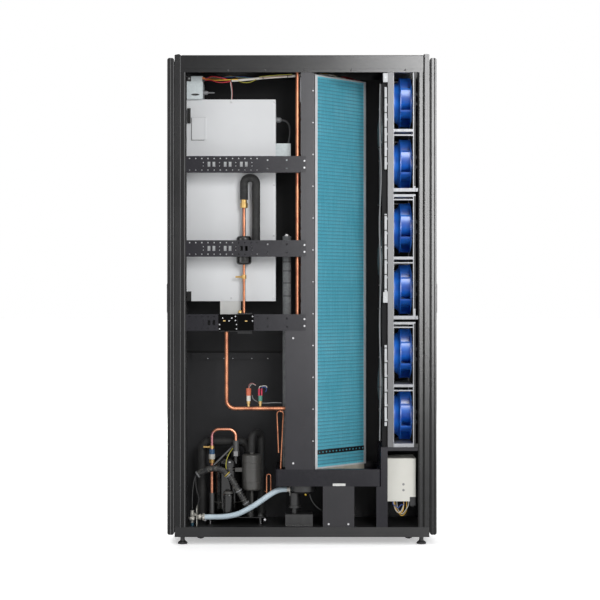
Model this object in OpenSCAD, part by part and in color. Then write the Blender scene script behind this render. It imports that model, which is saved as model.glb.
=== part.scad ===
// In-row cooling unit: a narrow full-height cabinet that stands between server racks.
// +X is the front (cold aisle) door, -X the rear (hot aisle) door, -Y the open service side.
// The origin is on the floor under the middle of the cabinet, +Z up, all sizes in millimetres.

/* [Cabinet] */
// Width of the cabinet across the row
unit_w = 300; // [296:1:320]
// Depth over the two closed doors, without their handles
body_d = 1098; // [1080:1:1140]
// Height over the post caps
unit_h = 2000; // [1990:1:2030]
// Thickness of the sheet metal parts
sheet = 2; // [1.5:0.1:2.5]
// Depth of a corner post along X
post_d = 25; // [22:0.5:28]
// Width of a corner post along Y
post_w = 30; // [28:0.5:34]
// Height of the domed plastic cap on a post
post_cap_h = 7; // [5:0.5:10]
// Distance from the floor to the underside of the base
foot_clear = 30; // [29:0.5:34]
// Height of the base rails
base_rail_h = 40; // [38:0.5:44]
// Height of the head rails
head_rail_h = 53; // [48:0.5:58]
// Height of the thin flange under a head rail
head_flange_h = 16; // [12:0.5:18]
// Width of the upright lip beside each corner post
lip_w = 19; // [15:0.5:20]
// Dark joint between a corner post and its lip
lip_gap = 2; // [1:0.5:4]
// How far inner panels and rails sit behind the outer face of the posts
face_inset = 2; // [1.5:0.1:2.5]

/* [Doors] */
// Thickness of a door
door_t = 28; // [25:0.5:32]
// Gap between a closed door and the posts
door_gap = 2; // [1.8:0.1:3]
// Height of a door's lower edge above the floor
door_low = 39; // [37:0.5:42]
// Gap from a door's upper edge to the roof
door_top_gap = 11; // [10:0.5:16]
// Width of the solid border round a door's grille
door_border = 34; // [30:1:44]
// Radius of the rounded upper and lower ends of a door
door_end_r = 9; // [6:0.5:12]
// Radius of a door's pivot pins
door_pin_r = 4; // [3:0.25:5]
// Distance of the pivot from the door's inner face
pivot_in = 20; // [18:0.5:22]
// Distance of the pivot from the door's hinge edge
pivot_edge = 7; // [6.5:0.1:7.5]
// Number of grille slots across a door
grille_cols = 9; // [5:1:12]
// Number of grille slots up a door
grille_rows = 26; // [12:1:36]
// Share of the grille pitch that is open
grille_open = 0.62; // [0.4:0.02:0.75]
// Height of the handle's pivot above the floor
handle_z = 1052; // [1000:1:1100]
// Distance of the handle's pivot from the closing edge
handle_edge = 46; // [42:1:60]
// Length of the lever from its pivot
lever_l = 116; // [90:1:130]
// Width of the lever
lever_w = 22; // [18:1:28]
// How far a handle stands proud of its door
handle_proud = 5; // [4.5:0.1:8]
// Radius of the handle's spindle
spindle_r = 6; // [4:0.5:8]

/* [Feet and casters] */
// Distance of the feet from the middle along X
foot_x = 488; // [484:1:492]
// Distance of the feet from the middle along Y
foot_y = 128; // [124:1:129]
// Radius of a foot's pad
foot_r = 20; // [16:0.5:21]
// Radius of a foot's threaded stem
foot_stem_r = 6; // [5:0.5:7]
// Distance of the casters from the middle along X
caster_x = 428; // [400:1:432]
// Distance of the casters from the middle along Y
caster_y = 76; // [60:1:80]
// Radius of a caster wheel
wheel_r = 23; // [20:0.5:24]
// Width of a caster wheel
wheel_w = 20; // [16:0.5:22]
// Distance of the wheel's axle from the swivel axis
caster_trail = 11; // [8:0.5:13]
// Height of a wheel above the floor while the feet carry the unit
caster_lift = 13; // [12:0.5:14]

/* [Frame inside] */
// X of the left face of the middle post
mid_post_x = -4; // [-8:1:0]
// Width of the middle post
mid_post_w = 43; // [40:1:46]
// Depth of the inner posts along Y
inner_post_d = 28; // [24:1:30]
// Width of the support post under the lowest cross rail
support_w = 64; // [56:1:70]
// Heights of the middles of the three cross rails
rail_z = [904, 1206, 1549]; // [800:1:1700]
// Height of a cross rail
rail_h = 67; // [60:1:72]
// X of the left face of the fan posts
fan_post_x = 350; // [346:1:354]
// Width of a fan post
fan_post_w = 23; // [20:1:26]
// Depth of a fan post along Y
fan_post_d = 22; // [18:1:24]

/* [Fans] */
// Height of the middle of the middle fan module
module_mid = 1167; // [1160:1:1172]
// Distance from one fan module to the next
module_pitch = 521; // [518:1:524]
// Distance between the two fans in a module
fan_pitch = 256; // [248:1:260]
// Outer radius of an impeller
imp_r = 105; // [96:1:106]
// Length of an impeller along its axis
imp_l = 86; // [80:1:88]
// Inner radius of an impeller's inlet
imp_in_r = 76; // [70:1:80]
// Number of blades on an impeller
blade_count = 7; // [5:1:9]
// Thickness of a blade
blade_t = 2.6; // [2:0.1:4]
// Radius of a blade's curve
blade_arc_r = 75; // [60:1:90]
// Angle that a blade sweeps from its inner to its outer end
blade_sweep = 64; // [30:1:70]
// Radius of a motor shaft
shaft_r = 8; // [6:0.5:10]
// Width of a fan module along X
module_w = 90; // [86:1:92]
// Width of the strip along a module's front edge
strip_w = 10; // [8:1:12]
// Radius of the domed plates on the bulkhead
dome_r = 105; // [95:1:110]
// Height of a domed plate
dome_h = 13; // [9:0.5:14]

/* [Coil] */
// Angle of the coil to the cabinet's length, seen from above
coil_angle = 45; // [43:0.5:46]
// Length of the finned block
coil_l = 282; // [270:1:284]
// Depth of the finned block in the air's direction
coil_t = 95; // [85:1:96]
// Height of the finned block
coil_h = 1600; // [1560:1:1604]
// X of the coil's front corner at the open side
coil_x = 61; // [60:0.5:64]
// Distance of that corner from the open side
coil_inset = 25; // [24:0.5:28]
// Distance from fin to fin
fin_pitch = 5; // [4:0.5:8]
// Thickness of a fin
fin_t = 1.6; // [1:0.1:2]
// Depth of the gaps between fins
fin_depth = 16; // [10:1:20]
// Radius of the coil's tubes
tube_r = 4.8; // [4:0.1:6]
// Distance between tube rows through the coil
row_pitch = 24; // [22:0.5:25]
// Distance between tube levels up the coil
level_pitch = 50; // [40:1:60]

/* [Drip tray and lower bay] */
// X of the tray's left end
tray_x = -108; // [-112:1:-100]
// X of the tray's right end, where the partition stands
tray_end_x = 322; // [318:1:324]
// Height of the tray's floor above the ground
tray_z = 236; // [230:1:240]
// Height of the tray's walls
tray_h = 69; // [60:1:72]
// Left face of the pedestal
pedestal_x = 85; // [80:1:95]
// Width of the pedestal
pedestal_w = 128; // [110:1:135]
// Top of the shelf that carries the fan posts
shelf_z = 396; // [390:1:400]
// Thickness of that shelf's front edge
shelf_h = 15; // [12:1:18]
// Width of the partition's front edge
partition_w = 27; // [22:1:28]

/* [Refrigerant circuit] */
// Radius of the compressor's shell
comp_r = 58; // [52:1:60]
// Height of the compressor's shell
comp_h = 240; // [220:1:250]
// Radius of the suction accumulator
accu_r = 40; // [36:0.5:41]
// Height of the suction accumulator
accu_h = 150; // [130:1:155]
// Radius of the large copper line
line_r = 8; // [7:0.5:9]
// Radius of the discharge loop
loop_r = 6.5; // [5.5:0.5:7]
// Radius of an insulated line
sleeve_r = 16.5; // [15:0.5:17]
// Radius of the filter drier
drier_r = 31; // [28:0.5:32]
// Height of the filter drier
drier_h = 118; // [100:1:120]
// Radius of the drain hose
hose_r = 11.5; // [10:0.5:12]

/* [Electrical parts] */
// X of the left face of the electrical enclosure
box_x = -478; // [-480:1:-470]
// Width of the electrical enclosure
box_w = 369; // [350:1:371]
// Height of the enclosure's lower face
box_z = 991; // [985:1:1000]
// Height of the electrical enclosure
box_h = 835; // [820:1:838]
// Distance of the enclosure's cover from the open side
box_inset = 102; // [101:0.5:106]
// Depth of the electrical enclosure
box_t = 146; // [120:1:150]
// Width of the inverter box
inv_w = 118; // [100:1:120]
// Height of the inverter box
inv_h = 176; // [150:1:180]

/* [Hidden] */
$fn = 48;
eps = 0.01;
fit = 0.05;
gap = 0.3;
near_y = -unit_w / 2;
far_y = unit_w / 2;
post_x = body_d / 2 - door_t - door_gap;
post_in = post_x - post_d;
lip_x = post_in - lip_gap;
lip_in = lip_x - lip_w;
base_z = foot_clear;
floor_z = foot_clear + base_rail_h;
roof_z = unit_h - post_cap_h;
head_top = roof_z - sheet;
head_z = roof_z - head_rail_h;
inner_top = head_z - head_flange_h;
skin_y = near_y + face_inset;
inner_y = skin_y + sheet;
door_face = body_d / 2;
door_in = door_face - door_t;
door_high = roof_z - door_top_gap;
pivot_x = door_in + pivot_in;
pivot_y = far_y - 1 - pivot_edge;
tab_t = 4;
pivot_pin_l = 16;
mid_post_end = mid_post_x + mid_post_w;
tray_top = tray_z + tray_h;
fan_post_end = fan_post_x + fan_post_w;
module_z = [for (i = [-1 : 1]) module_mid + i * module_pitch];
fan_z = [for (i = [0 : 5]) module_z[floor(i / 2)] + (i % 2 == 0 ? -1 : 1) * fan_pitch / 2];
imp_x = fan_post_end + sheet + 3;
motor_x = imp_x + imp_l + 2;
coil_z = tray_top + 6;
coil_y = near_y + coil_inset;
rail_x = -lip_in;
riser = [-18.5, near_y + 43];
bend_y = near_y + 70;
insulated = [-62.5, bend_y];
drier_x = -239;
leg_pitch = 50;
line_z = 551;
line_x = -309;
comp = [-313, 35];
comp_z = floor_z + 30;
base_front = near_y + 74;
accu = [-209, -20];
accu_z = 205;
loop = [-376, 0];
port = [-276, 0];
box_y = near_y + box_inset;
bulkhead_x = fan_post_x - 22;
skin_far = far_y - face_inset;
roof_line_x = [-60, -18.5];
roof_slot = [-330, -210];
tube_levels = floor((coil_h - 60) / level_pitch) + 1;
header_r = 9;
header_out = 21;
header_levels = [1 : 3 : tube_levels - 2];
pump_x = 4;
pump_y = near_y + 66;
bowl_r = 52;
bowl_h = 33;
inv_x = 348;
inv_z = 170;
drier_z = rail_z[1] - 65;
nut_low = 1375;
valve_z = 866;
valve_top = 942;
panel_t = 1.5;
panel_face = skin_far - sheet - panel_t;
rib_z = [756];
blade_in_r = imp_in_r - 14;
blade_start = -7.6;
front_windows = [[door_low + door_border, 1360], [1540, door_high - door_border]];
rear_windows = [[door_low + door_border, door_high - door_border]];
handle_y = near_y + 1 + handle_edge;
hose_out = 66;
hose_high = [pump_x - hose_out, pump_y, tray_z - 20];
hose_low = [-400, near_y + 60, 103];
// Route of the drain hose, from the drain fitting at the rear up to the pump's bowl
hose_path = [hose_low, [-376, -90, 103], [-345, -90, 103], [-305, -90, 106], [-265, -91, 115],
    [-225, -92, 134], [-185, -92, 158], [-148, -90, 184], [-115, -87, 205], [-88, -84, 215],
    hose_high];
// Routes of the tied wires: points, radius
wires = [
    [[[-401.5, -55, 1912], [-389, -56, 1912.6], [-372, -70, 1918], [-330, -88, 1910], [-303, -95, 1900],
        [-292.6, -95, 1899]], 2],
    [[[-401.5, -50, 1906], [-389, -51, 1905.6], [-366, -66, 1902], [-330, -86, 1897], [-303, -98, 1895.5],
        [-292.6, -98, 1895.5]], 2],
    [[[-292, -97, 1897], [-240, -97, 1900], [-160, -97, 1908], [-90, -97, 1913],
        [-40, -86, 1917], [0, -88, 1922.4], [38, -100, 1922.4], [60, -100, 1922.4]], 5],
    [[[60, -94, 1919.9], [80, -84, 1919.9], [110, -54, 1919.9], [140, -24, 1919.9],
        [160, -4, 1919.9]], 2.5],
    [[[66, -107, 1919.9], [90, -83, 1919.9], [120, -53, 1919.9], [150, -23, 1919.9],
        [180, 7, 1919.9]], 2.5],
    [[[160, 8, 1920.4], [200, 47, 1920.4], [240, 86, 1920.4], [262, 108, 1920.4]], 3],
    [[[-219, -104, 634], [-216, -104, 650], [-204, -96, 654], [-190, -88, 646]], 1.5],
    [[[-165, -104, 633.5], [-160, -104, 646], [-146, -100, 640], [-150, -92, 600],
        [-120, -84, 574], [-84, -80, 572]], 1.5],
    [[[319.2, -112, 1700], [319, -112, 1500], [319.2, -112, 1300], [319, -112, 1100],
        [319.2, -112, 900], [319, -112, 700], [319.2, -112, 500]], 4],
    [[[320, -122, 1880], [318, -126, 1700], [324, -128, 1500], [316, -126, 1300],
        [323, -128, 1100], [317, -126, 900], [322, -126, 700], [318, -120, 420]], 3.5],
    [[[376, -96, 169.7], [377, -98, 156], [384, -108, 134], [398, -112, 124],
        [412, -106, 136], [418, -98, 156], [418, -97, 169.7]], 2],
    [[[386, -90, 169.7], [387, -91, 152], [394, -97, 132], [410, -101, 113],
        [428, -98, 132], [434, -92, 154], [434, -91, 169.7]], 2],
    [[[-434.5, -69, 272.6], [-441, -70, 264], [-448, -76, 236], [-452, -86, 180],
        [-450, -102, 145], [-450, -104, 133.4]], 2],
    [[[-434.5, -63, 272.6], [-440, -62, 262], [-436, -60, 210], [-426, -56, 170],
        [-440, -58, 120], [-442, -60, 70.4]], 2]
];
// Route of the ribbed conduit
conduit_path = [[-434, -66, 273], [-415, -66, 285], [-388, -66, 296], [-355, -66, 300],
    [-322, -66, 291], [-296, -66, 264], [-270, -65, 222], [-243, -64, 175], [-213, -62, 130],
    [-211, -62, 101.2]];

// ---- helpers ----

function unit(v) = v / norm(v);
function clamp(v, lo, hi) = min(max(v, lo), hi);
// A direction at right angles to v
function across(v) = unit(cross(v, abs(v[2]) < 0.9 * norm(v) ? [0, 0, 1] : [1, 0, 0]));
// Angle through which a path turns at b
function turn(a, b, c) = acos(clamp(unit(b - a) * unit(c - b), -1, 1));
// Length that a bend takes from each of the legs that meet at b
function setback(a, b, c, r) = r * tan(turn(a, b, c) / 2);

// Places its children with their X, Y and Z along three given directions
module frame(o, x, y, z) {
    multmatrix([[x[0], y[0], z[0], o[0]], [x[1], y[1], z[1], o[1]], [x[2], y[2], z[2], o[2]],
        [0, 0, 0, 1]]) children();
}

// Places its children on the line from a towards b
module along(a, b) {
    z = unit(b - a);
    x = across(z);
    frame(a, x, cross(z, x), z) children();
}

module rod(a, b, r) {
    along(a, b) cylinder(r = r, h = norm(b - a));
}

// Round pipe through the points p, with bends of radius bend
module pipe(p, r, bend) {
    last = len(p) - 1;
    for (i = [0 : last - 1]) {
        d = unit(p[i + 1] - p[i]);
        a = i == 0 ? p[i] : p[i] + d * setback(p[i - 1], p[i], p[i + 1], bend);
        b = i == last - 1 ? p[i + 1]
            : p[i + 1] - d * setback(p[i], p[i + 1], p[i + 2], bend);
        rod(a, b, r);
    }
    for (i = [1 : 1 : last - 1]) elbow(p[i - 1], p[i], p[i + 1], r, bend);
}

// Quarter or other part of a torus that joins two legs at b
module elbow(a, b, c, r, bend) {
    u = unit(b - a);
    w = unit(cross(u, c - b));
    n = cross(w, u);
    frame(b - u * setback(a, b, c, bend) + n * bend, -n, u, w)
        rotate_extrude(angle = turn(a, b, c)) translate([bend, 0]) circle(r = r);
}

// Points of a smooth curve through the points p, n steps from each one to the next
function smooth(p, n) = [for (i = [0 : len(p) - 2]) for (k = [0 : n - 1]) spline(p, i, k / n),
    p[len(p) - 1]];
function spline(p, i, t) =
    let (a = p[max(i - 1, 0)], b = p[i], c = p[i + 1], d = p[min(i + 2, len(p) - 1)])
    0.5 * (2 * b + (c - a) * t + (2 * a - 5 * b + 4 * c - d) * t * t
        + (3 * b - a - 3 * c + d) * t * t * t);

// Tube of radius r swept along the points p as one closed solid
module swept(p, r, sides = 8) {
    n = len(p);
    t = [for (i = [0 : n - 1]) unit(p[min(i + 1, n - 1)] - p[max(i - 1, 0)])];
    up = [for (i = 0, u = across(t[0]); i < n; i = i + 1,
        u = i < n ? unit(u - (u * t[i]) * t[i]) : u) u];
    points = [for (i = [0 : n - 1]) for (k = [0 : sides - 1])
        p[i] + r * (cos(360 * k / sides) * up[i] + sin(360 * k / sides) * cross(t[i], up[i]))];
    sides_faces = [for (i = [0 : n - 2]) for (k = [0 : sides - 1]) let (m = (k + 1) % sides)
        each [[i * sides + k, (i + 1) * sides + k, i * sides + m],
            [i * sides + m, (i + 1) * sides + k, (i + 1) * sides + m]]];
    ends = [[for (k = [0 : sides - 1]) k], [for (k = [sides - 1 : -1 : 0]) (n - 1) * sides + k]];
    polyhedron(points, concat(sides_faces, ends), convexity = 6);
}

// Box between two corners
module block(a, b) {
    translate([min(a[0], b[0]), min(a[1], b[1]), min(a[2], b[2])])
        cube([abs(b[0] - a[0]), abs(b[1] - a[1]), abs(b[2] - a[2])]);
}

// Flat plate in the XZ plane, from y and thick towards +Y, of the outline its children draw
module plate_xz(y, thick) {
    translate([0, y + thick, 0]) rotate([90, 0, 0]) linear_extrude(thick) children();
}

// Rectangle with round corners
module round_rect(a, b, r) {
    translate([a[0] + r, a[1]]) square([b[0] - a[0] - 2 * r, b[1] - a[1]]);
    translate([a[0], a[1] + r]) square([b[0] - a[0], b[1] - a[1] - 2 * r]);
    for (x = [a[0] + r, b[0] - r]) for (y = [a[1] + r, b[1] - r]) translate([x, y]) circle(r = r);
}

module both_ends() {
    children();
    mirror([1, 0, 0]) children();
}

module both_sides() {
    children();
    mirror([0, 1, 0]) children();
}

// Hexagon prism of the given width across flats, axis along Z
module hex(af, h) {
    cylinder(r = af / sqrt(3), h = h, $fn = 6);
}

// ---- cabinet ----

// Section of the tube of a corner post at the front, near side
module post_section() {
    difference() {
        translate([post_in, near_y]) square([post_d, post_w]);
        translate([post_in + sheet, near_y + sheet])
            square([post_d - 2 * sheet, post_w - 2 * sheet]);
        for (k = [1, 2]) translate([post_in + k * post_d / 3 - 1, near_y - 1]) square([2, 2]);
    }
}

// Section of the lip beside the post, and of the strip that joins it to the post
module lip_section() {
    translate([lip_in, skin_y]) square([lip_w, sheet]);
    translate([lip_x - sheet, skin_y]) square([sheet, post_w - 2 * face_inset]);
    translate([lip_x - sheet, near_y + post_w - face_inset - sheet])
        square([lip_gap + 2 * sheet, sheet]);
}

// Plug with a domed top that closes a post
module post_cap() {
    crown = post_w / 2;
    translate([post_in, near_y, roof_z]) intersection() {
        cube([post_d, post_w, post_cap_h]);
        translate([post_d / 2, post_w / 2, post_cap_h - crown * 2.2])
            sphere(r = crown * 2.2, $fn = 72);
    }
}

// Arm that holds a door's pivot pin, from the post out past the door's end
module pivot_tab(z, from) {
    block([from, far_y - 22, z], [pivot_x + 8, far_y - 1, z + tab_t]);
}

module corner_posts() {
    color([0.16, 0.16, 0.17]) both_ends() {
        both_sides() {
            translate([0, 0, floor_z]) linear_extrude(roof_z - floor_z) post_section();
            translate([0, 0, floor_z]) linear_extrude(inner_top - floor_z) lip_section();
            post_cap();
        }
        pivot_tab(door_high + gap, post_in + sheet);
        translate([pivot_x, pivot_y, door_high + gap - pivot_pin_l])
            cylinder(r = door_pin_r, h = pivot_pin_l);
    }
}

// Section of a base rail across Y and Z, open towards the inside
module base_section() {
    difference() {
        translate([near_y, base_z]) square([post_w, base_rail_h]);
        translate([near_y + sheet, base_z + sheet])
            square([post_w, base_rail_h - 2 * sheet]);
    }
}

// Solid block in a corner of the base that takes a levelling foot
module foot_block() {
    block([foot_x - 28, near_y + sheet, base_z + sheet], [post_x - sheet,
        near_y + 46, floor_z - sheet]);
}

module caster_plate() {
    difference() {
        translate([caster_x - 25, -caster_y - 25, floor_z - sheet - 3]) cube([50, 50, 3]);
        translate([caster_x, -caster_y, floor_z - sheet - 4]) cylinder(r = 4 + fit, h = 5);
    }
}

module base_frame() {
    color([0.15, 0.15, 0.16]) {
        difference() {
            union() {
                both_sides() translate([-post_x, 0, 0]) rotate([90, 0, 90])
                    linear_extrude(2 * post_x) base_section();
                both_ends() block([post_x - sheet, near_y + sheet, base_z],
                    [post_x, far_y - sheet, floor_z]);
                block([-post_x, near_y + sheet, floor_z - sheet],
                    [post_x, far_y - sheet, floor_z]);
                both_ends() both_sides() foot_block();
            }
            both_ends() both_sides() translate([foot_x, -foot_y, base_z - 1]) {
                cylinder(r = foot_stem_r + fit, h = base_rail_h + 2);
                cylinder(r = foot_stem_r + 5, h = 18);
            }
        }
        both_ends() both_sides() caster_plate();
        both_ends() {
            pivot_tab(door_low - gap - tab_t, post_x - eps);
            translate([pivot_x, pivot_y, door_low - gap]) cylinder(r = door_pin_r,
                h = pivot_pin_l);
        }
    }
}

// Section of a head rail across Y and Z: outer skin, top leg, and the thin flange below
module head_section() {
    translate([near_y, head_z]) square([sheet, head_top - head_z]);
    translate([near_y, head_top - sheet]) square([post_w, sheet]);
    translate([near_y, head_z - sheet]) square([face_inset + sheet, sheet + eps]);
    translate([skin_y, inner_top]) square([sheet, head_flange_h]);
}

module top_frame() {
    color([0.15, 0.15, 0.16]) {
        both_sides() translate([-post_in, 0, 0]) rotate([90, 0, 90])
            linear_extrude(2 * post_in) head_section();
        both_ends() {
            block([post_x - sheet, near_y + post_w, head_z],
                [post_x, far_y - post_w, roof_z]);
            block([post_in, near_y + post_w, head_z], [post_x - sheet, far_y - post_w,
                head_z + sheet]);
        }
    }
}

// Roof sheet with a cable slot, two line holes and a gland plate
module roof_panel() {
    color([0.17, 0.17, 0.18]) difference() {
        union() {
            block([-post_in, near_y, head_top], [post_in, far_y, roof_z]);
            block([-post_in + 40, near_y + post_w + 4, roof_z],
                [post_in - 40, far_y - post_w - 4, roof_z + 1.5]);
        }
        for (x = roof_line_x) translate([x, riser[1], head_top - 1]) cylinder(r = 15, h = 10);
        block([roof_slot[0], -35, head_top - 1], [roof_slot[1], 35, roof_z + 5]);
        for (x = [-410, 80, 200, 320]) translate([x, 0, head_top - 1]) cylinder(r = 11, h = 10);
    }
}

// Closed side: one sheet held behind the lips, with a stiffening rib in the rear bay
module side_panel() {
    half = lip_x - sheet - gap;
    face = skin_far - sheet - panel_t;
    color([0.2, 0.2, 0.21]) {
        block([-half, face, floor_z], [half, skin_far - sheet, inner_top + 12]);
        for (z = rib_z) block([-lip_in + 2, face - 10, z - 14], [mid_post_x - support_w,
            face, z + 14]);
    }
}

// Outline of a cross rail from the lip to the middle post, with the slots and holes
module cross_rail_face() {
    slot = [11, 20];
    difference() {
        round_rect([rail_x, -rail_h / 2], [mid_post_x + 20, rail_h / 2], 5);
        for (g = [0 : 2]) for (s = [-1, 1])
            translate([-369 + g * 66 + s * 10 - slot[0] / 2, -slot[1] / 2]) square(slot);
        for (i = [0 : 11]) for (s = [-1, 1])
            translate([-458 + i * 25, s * (rail_h / 2 - 10)]) circle(r = 2.6);
        for (g = [0 : 3]) for (s = [-1, 1])
            translate([-402 + g * 66, s * 7]) circle(r = 2.2);
        for (x = [-140, -62]) for (s = [-1, 1]) translate([x, s * 17]) circle(r = 3.4);
    }
}

module cross_rails() {
    color([0.1, 0.1, 0.11]) for (z = rail_z) translate([0, 0, z]) {
        plate_xz(skin_y, sheet) cross_rail_face();
        for (s = [-1, 1]) block([rail_x + 5, skin_y + sheet / 2, s * rail_h / 2],
            [mid_post_x - 1, skin_y + 26, s * (rail_h / 2 - sheet)]);
        block([rail_x - 14, inner_y, -rail_h / 2 + 8], [rail_x + 8, inner_y + sheet,
            rail_h / 2 - 8]);
    }
}

// Section of the middle post and its screw flange across X and Y
module mid_post_section() {
    difference() {
        translate([mid_post_x, inner_y]) square([mid_post_w, inner_post_d]);
        translate([mid_post_x + sheet, inner_y + sheet])
            square([mid_post_w - 2 * sheet, inner_post_d]);
        translate([mid_post_x + mid_post_w * 0.3, inner_y - 1]) square([2, 2]);
    }
    translate([mid_post_end - eps, inner_y + 8]) square([coil_x - 10 - mid_post_end, sheet]);
}

module inner_posts() {
    color([0.13, 0.13, 0.14]) {
        translate([0, 0, tray_top]) linear_extrude(head_z - sheet - tray_top - gap)
            mid_post_section();
        translate([mid_post_x - support_w, inner_y, tray_top]) difference() {
            cube([support_w, inner_post_d, rail_z[0] - rail_h / 2 - tray_top]);
            translate([sheet, sheet, -1]) cube([support_w - 2 * sheet, inner_post_d, unit_h]);
        }
    }
    color([0.45, 0.45, 0.47]) for (y = [inner_y, panel_face - fan_post_d])
        translate([fan_post_x, y, shelf_z]) difference() {
            cube([fan_post_w, fan_post_d, head_top - 2 * sheet - shelf_z]);
            translate([sheet, sheet, -1]) cube([fan_post_w - 2 * sheet,
                fan_post_d - 2 * sheet, unit_h]);
        }
}

// ---- fans ----

// One fan module: inlet plate, level plates, edge strips and the tabs that hang it
module fan_frame(zc) {
    y = near_y + 8;
    low = zc - fan_pitch / 2 - 122;
    high = zc + fan_pitch / 2 + 132;
    x = fan_post_end;
    front = x + module_w;
    difference() {
        block([x, y, low], [x + sheet, -y, high]);
        for (s = [-1, 1]) translate([x - 1, 0, zc + s * fan_pitch / 2]) rotate([0, 90, 0])
            cylinder(r = imp_in_r + 12, h = sheet + 2);
    }
    for (z = [[low, 14], [zc - 5.5, 11], [high - 10, 10]])
        block([x, y, z[0]], [front - strip_w, -y, z[0] + z[1]]);
    for (z = [zc - 22, high - 24]) both_sides()
        block([x, y, z], [front - strip_w, y + 10, z + 5]);
    both_sides() block([front - strip_w, y, low], [front, y + 3, high]);
    block([front, inner_y, low], [lip_in + 6, y + 3, low + 14]);
    block([front, -y - 3, low], [lip_in + 6, panel_face, low + 14]);
}

module fan_frames() {
    color([0.72, 0.72, 0.74]) for (z = module_z) fan_frame(z);
}

// Rounded inlet nozzle in front of each impeller, axis along Z
module inlet_ring() {
    throat = imp_in_r - 2.5;
    bend = 8;
    rotate_extrude($fn = 96) {
        translate([throat + bend, -sheet]) square([imp_in_r + 20 - throat - bend, sheet]);
        translate([throat + bend, bend - sheet]) intersection() {
            difference() {
                circle(r = bend);
                circle(r = bend - sheet);
            }
            translate([-bend, -bend]) square([bend, bend]);
        }
        translate([throat, bend - sheet]) square([sheet, 5]);
    }
}

module fan_inlet_rings() {
    color([0.6, 0.61, 0.63]) for (z = fan_z) translate([fan_post_end, 0, z]) rotate([0, 90, 0])
        inlet_ring();
}

// Outer rotor motor stub, shaft and the four arms that carry it between the edge strips
module fan_motor() {
    arm = 10;
    front = fan_post_end + module_w;
    translate([motor_x, 0, 0]) rotate([0, 90, 0]) {
        cylinder(r = 34, h = 9);
        translate([0, 0, -imp_l / 2]) cylinder(r = shaft_r, h = imp_l / 2 + 1);
    }
    both_sides() for (z = [-20, 20]) {
        block([motor_x, near_y + 11, z - arm / 2], [motor_x + 4, -20, z + arm / 2]);
        block([front - strip_w, near_y + 11, z - arm / 2], [motor_x + 4, near_y + 14,
            z + arm / 2]);
    }
}

module fan_motors() {
    color([0.2, 0.2, 0.22]) for (z = fan_z) translate([0, 0, z]) fan_motor();
}

// One blade, as a curved wall of height h from the inner ring out to the rim
module blade(h) {
    from = [blade_in_r, 0];
    to = (imp_r + 3) * [cos(blade_sweep), sin(blade_sweep)];
    chord = to - from;
    reach = norm(chord) / 2;
    side = unit([-chord[1], chord[0]]);
    centre = (from + to) / 2 + side * sqrt(blade_arc_r * blade_arc_r - reach * reach);
    span = 2 * asin(reach / blade_arc_r);
    first = atan2(from[1] - centre[1], from[0] - centre[0]);
    translate(centre) rotate(first) rotate_extrude(angle = span, $fn = 96)
        translate([blade_arc_r - blade_t, 0]) square([blade_t, h]);
}

// Outline of the impeller's inlet shroud from the inlet to its rim
module shroud_outline(thick) {
    translate([imp_in_r, 0]) difference() {
        intersection() {
            translate([imp_r - imp_in_r, 0]) circle(r = imp_r - imp_in_r, $fn = 96);
            square([imp_r - imp_in_r, imp_r]);
        }
        translate([imp_r - imp_in_r, 0]) circle(r = imp_r - imp_in_r - thick, $fn = 96);
    }
}

// Backward curved impeller, axis along Z, inlet at z = 0
module impeller() {
    back = imp_l - 12;
    shroud = imp_r - imp_in_r;
    difference() {
        union() {
            intersection() {
                for (k = [0 : blade_count - 1]) rotate(blade_start + k * 360 / blade_count)
                    mirror([0, 1, 0]) blade(back + 4);
                rotate_extrude($fn = 96) difference() {
                    polygon([[blade_in_r - 4, 18], [imp_r - 1.5, 18], [imp_r - 1.5, back - 4.2],
                        [imp_r - 26, back + 1.5], [blade_in_r - 4, back + 1.5]]);
                    translate([imp_r, 0]) circle(r = shroud - blade_t / 2, $fn = 96);
                }
            }
            rotate_extrude($fn = 96) {
                shroud_outline(blade_t);
                polygon([[imp_r - 26, back], [imp_r, back - 6], [imp_r, back - 3],
                    [imp_r - 26, back + 3], [40, back + 3], [34, imp_l], [0, imp_l],
                    [0, back - 8], [26, back - 8], [34, back]]);
            }
        }
        translate([0, 0, -1]) cylinder(r = shaft_r + fit, h = imp_l + 2);
    }
}

module placed_impeller(i) {
    color([0.1, 0.25, 0.75]) translate([imp_x, 0, fan_z[i]]) rotate([0, 90, 0]) impeller();
}
module impeller_1() { placed_impeller(5); }
module impeller_2() { placed_impeller(4); }
module impeller_3() { placed_impeller(3); }
module impeller_4() { placed_impeller(2); }
module impeller_5() { placed_impeller(1); }
module impeller_6() { placed_impeller(0); }

// Air plate between coil and fans, with three domed covers and the openings between them
module bulkhead() {
    ball = (dome_r * dome_r + dome_h * dome_h) / (2 * dome_h);
    plate = [bulkhead_x, bulkhead_x + sheet];
    near = near_y + 22;
    far = skin_far - sheet - 2;
    color([0.12, 0.12, 0.13]) difference() {
        union() {
            block([plate[0], near, shelf_z], [plate[1], far, inner_top]);
            block([plate[0], near, shelf_z], [fan_post_x, near + sheet, inner_top]);
        }
        for (z = [module_mid - module_pitch / 2, module_mid + module_pitch / 2])
            block([plate[0] - 1, -105, z - 105], [plate[1] + 1, 120, z + 105]);
        block([plate[0] - 1, -105, module_z[2] + 140], [plate[1] + 1, 120, inner_top - 12]);
        block([plate[0] - 1, -105, shelf_z + 12], [plate[1] + 1, 120, module_z[0] - 140]);
    }
    color([0.55, 0.57, 0.6]) for (z = module_z) translate([plate[0], 0, z]) rotate([0, -90, 0]) {
        rotate_extrude($fn = 96) intersection() {
            translate([0, dome_h - ball]) difference() {
                circle(r = ball, $fn = 360);
                circle(r = ball - sheet, $fn = 360);
            }
            square([dome_r + 20, dome_h]);
        }
        difference() {
            cylinder(r = dome_r + 22, h = sheet, $fn = 96);
            translate([0, 0, -1]) cylinder(r = dome_r, h = sheet + 2, $fn = 96);
        }
    }
}

// ---- coil ----

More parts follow.
